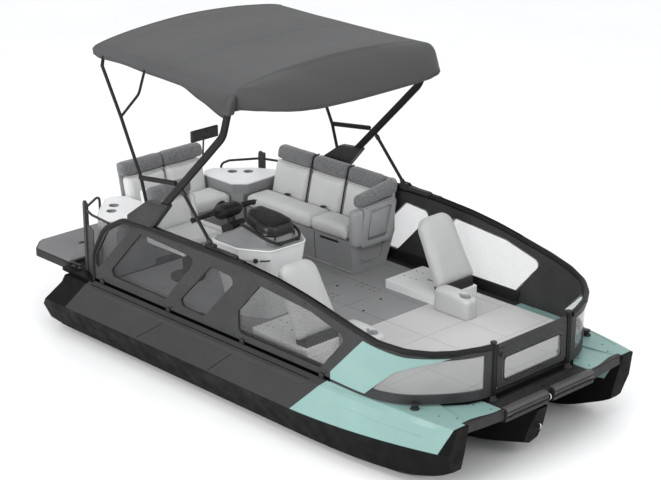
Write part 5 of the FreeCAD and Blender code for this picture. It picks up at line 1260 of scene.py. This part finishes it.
for side, sign in SIDES:
    for number, (foot_x, top_x) in enumerate(((-0.829, -0.469), (0.084, 0.382)), 1):
        row = [(foot_x + (top_x - foot_x) * s, sign * 2.0, 0.325 + 0.243 * s)
            for s in (0.0, 0.25, 0.5, 0.75, 1.0)]
        cord_line("hull_seam_%s_%d" % (side, number),
            along_surface("side_" + side, row, (0, -sign, 0), 0.0002), 0.0022, "hull_black", smooth=False)
        row = [(foot_x, sign * 2.0, z) for z in (0.3, 0.22, 0.14, 0.075)]
        cord_line("keel_seam_%s_%d" % (side, number),
            along_surface("sponson_" + side, row, (0, -sign, 0), 0.0002), 0.0022, "hull_grey", smooth=False)
    ridge = []
    for x in (-1.46, -1.4, -1.0, -0.4, 0.2, 0.8, 1.12, 1.2):
        low_z = 0.532 if -1.42 < x < 1.15 else 0.556
        high, low = along_surface("side_" + side, [(x, sign * 2.0, 0.577), (x, sign * 2.0, low_z)],
            (0, -sign, 0))
        rise = 0.0045 if -1.42 < x < 1.15 else 0.0008
        ridge.append([high, high + Vector((0, sign * rise, -0.003)), low + Vector((0, sign * rise, 0.003)),
            low])
    loft("hull_ridge_" + side, [[p - Vector((0, sign * 0.002, 0)) if k in (0, 3) else p
        for k, p in enumerate(ring)] for ring in ridge], "hull_ridge")
    row = [(x, sign * 1.15, 1.5) for x in (-1.5, -1.0, -0.4, 0.2, 0.8, 1.2)]
    cord_line("hull_step_" + side, along_surface("side_" + side, row, (0, 0, -1), 0.0006), 0.0032,
        "hull_black", smooth=False)
    row = [(x, sign * y, 1.5) for x, y in ((1.43, 1.14), (1.7, 1.118), (1.95, 1.088), (2.2, 1.046),
        (2.4, 1.004))]
    cord_line("cowl_step_" + side, along_surface("bow_cowl_" + side, row, (0, 0, -1), 0.0004), 0.0026,
        "aqua", smooth=False)
    row = [(x, sign * 2.0, z) for x, z in ((1.6, 0.492), (1.86, 0.48), (2.1, 0.474), (2.3, 0.472))]
    cord_line("cowl_line_" + side, along_surface("bow_cowl_" + side, row, (0, -sign, 0), 0.0004), 0.0024,
        "aqua", smooth=False)
    place, facing = hit("bow_cowl_" + side, (2.135, sign * 0.978, 1.5), (0, 0, -1))
    turned("bow_pin_" + side, place, (0, 0, 1), [(0.035, -0.003), (0.035, 0.006), (0.029, 0.011),
        (0.0195, 0.016), (0.0195, 0.028), (0.029, 0.031), (0.0295, 0.04), (0.025, 0.0465), (0.0, 0.048)])
    dots = [(1.5, 1.075), (1.78, 1.052), (2.33, 0.93), (2.44, 0.86), (2.36, 0.6), (2.5, 0.56)]
    fasteners("cowl_screws_" + side, [(hit("bow_cowl_" + side, (x, sign * y, 1.5), (0, 0, -1))[0],
        (0, 0, 1)) for x, y in dots], size=0.006)

# Stern posts

STERN_POST = (-1.735, 1.0)
for side, sign in SIDES:
    ahead = Vector((0.93, sign * 0.367, 0.0))
    beside = Vector((-ahead.y, ahead.x, 0.0))
    rings = []
    for z, grow in ((0.622, 0.8), (0.626, 1.0), (1.228, 1.0), (1.236, 0.8)):
        rings.append([Vector((STERN_POST[0], sign * STERN_POST[1], z)) + ahead * (0.014 + a * grow)
            + beside * (b * grow) for a, b in ((-0.032, -0.014), (-0.028, -0.018), (0.028, -0.018),
            (0.032, -0.014), (0.032, 0.014), (0.028, 0.018), (-0.028, 0.018), (-0.032, 0.014))])
    loft("stern_post_" + side, rings, "fence_grey")
    for number, z in enumerate((0.7, 0.98), 1):
        fasteners("stern_bolt_%s_%d" % (side, number), [(Vector((STERN_POST[0], sign * STERN_POST[1], z))
            + ahead * 0.014 + beside * sign * 0.018, beside * sign)], size=0.008)

# Decks, tables and pods

CUP = (1.248, 0.527)


def deck_mark(name, x, y, size):
    """Four corner ticks round a socket in the deck."""
    for number, (sx, sy) in enumerate(((-1, -1), (1, -1), (1, 1), (-1, 1)), 1):
        cx, cy = x + sx * size, y + sy * size
        ticks = [(cx, cy), (cx - sx * 0.022, cy), (cx - sx * 0.022, cy - sy * 0.005),
            (cx - sx * 0.005, cy - sy * 0.005), (cx - sx * 0.005, cy - sy * 0.022), (cx, cy - sy * 0.022)]
        panel("%s_%d" % (name, number), ticks, "z", 0.6292, 0.6306, bevel=0.0)


def pod_top(x):
    fore = min(max((x - 1.12) / 0.22, 0.0), 1.0)
    aft = min(max((1.02 - x) / 0.07, 0.0), 1.0)
    return 0.8205 - 0.03 * smoothed(fore) - 0.012 * aft * aft


def keyhole(radius, count=120):
    """A round cup's rim with a slot for a handle at its aft side."""
    points = []
    for away in spokes(count):
        reach = radius
        if away.x < 0.0:
            side_reach = (radius - 0.028) / max(abs(away.y), 1e-6)
            reach = max(radius, min(side_reach, (radius + 0.024) / -away.x))
        points.append(Vector(CUP) + away * reach)
    return points


def smoothed(value):
    return value * value * (3.0 - 2.0 * value)


for number, (x, y) in enumerate(((0.18, 0.42), (0.33, 0.42), (0.18, 0.08), (-0.64, 0.18)), 1):
    deck_mark("deck_mark_%d" % number, x, y, 0.035)
fasteners("deck_sockets", [((x, y, 0.63), (0, 0, 1)) for x, y in ((0.055, 0.25), (0.52, 0.3), (0.52, -0.3),
    (-0.2, 0.06), (-1.05, 0.12), (-0.64, -0.06), (0.6, 0.02))], size=0.011)
for side, sign in SIDES:
    for number, (x, y) in enumerate(((-1.76, 0.677), (-1.658, 0.781)), 1):
        turned("table_cup_%s_%d" % (side, number), (x, sign * y, 1.043), (0, 0, 1),
            [(0.0, 0.0), (0.036, 0.0), (0.0405, 0.004), (0.041, 0.076), (0.0445, 0.0785), (0.0445, 0.077),
            (0.0418, 0.0765), (0.0415, 0.0005), (0.036, -0.0006), (0.0, -0.0006)], "grey_shell", steps=36)
    pod_rings = []
    for inset, drop in ((0.006, 0.16), (0.0, 0.156), (0.0, 0.06), (0.0, 0.034), (0.0025, 0.02),
            (0.008, 0.0095), (0.016, 0.0035), (0.026, 0.0)):
        outline = rounded_outline(rect(0.957 + inset, 0.454 + inset, 1.333 - inset, 0.6 - inset), 0.042
            - inset * 0.6, 6)
        pod_rings.append([(p.x, p.y, pod_top(p.x) - drop if drop < 0.15 else 0.7905 - drop)
            for p in polar(outline, 120, CUP)])
    mouth = keyhole(0.0475)
    for share in (0.35, 0.7, 1.0):
        pod_rings.append([(a[0] + (b.x - a[0]) * share, a[1] + (b.y - a[1]) * share,
            pod_top(a[0] + (b.x - a[0]) * share)) for a, b in zip(pod_rings[7], mouth)])
    for reach, drop in ((0.0435, 0.0025), (0.0418, 0.01)):
        pod_rings.append([(p.x, p.y, pod_top(p.x) - drop) for p in keyhole(reach)])
    pod_rings.append([(p.x, p.y, 0.735) for p in keyhole(0.0416)])
    # Painted shade: the pods take a darker copy of the pale moulding.
    pod = loft("pod_" + side, [[Vector((x, sign * y, z)) for x, y, z in ring] for ring in pod_rings],
        "pod_shell", angle=50.0)
    if side == "port":
        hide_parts("bow_pods")
    turned("pod_cup_" + side, (CUP[0], sign * CUP[1], 0.731), (0, 0, 1), [(0.0, 0.0), (0.036, 0.0),
        (0.0405, 0.004), (0.041, 0.072), (0.0412, 0.0725), (0.0418, 0.0725), (0.0416, 0.0005),
        (0.036, -0.0006), (0.0, -0.0006)], "grey_shell", steps=36)
    screws = [(x, sign * y, 0.698) for x, y in ((0.4, 0.7), (0.47, 0.7), (0.54, 0.7), (0.4, 0.85),
        (0.47, 0.85))]
    fasteners("slab_screws_" + side, [(spot, (0, 0, 1)) for spot in screws], size=0.006)
    panel("slab_slot_" + side, rect(0.6, sign * 0.76, 0.655, sign * 0.785)[::int(sign)], "z", 0.6978,
        0.7005, "grey_shell", radius=0.01, bevel=0.001)

# Mirror

panel("mirror_glass", rect(-1.18, 2.177, -0.93, 2.253), "x", -0.0735, -0.0715, "bright_steel", radius=0.012,
    bevel=0.0005)
turned("mirror_knob", (-0.049, -1.055, 2.215), (1, 0, 0), [(0.034, -0.002), (0.034, 0.004), (0.026, 0.01),
    (0.018, 0.012), (0.018, 0.02), (0.013, 0.025), (0.0, 0.026)])

# Floor

floor_mesh = bpy.data.meshes.new("floor")
floor_mesh.from_pydata([(-30, -30, 0), (30, -30, 0), (30, 30, 0), (-30, 30, 0)], [], [(0, 1, 2, 3)])
floor = bpy.data.objects.new("floor", floor_mesh)
scene.collection.objects.link(floor)
floor_mesh.materials.append(floor_surface())
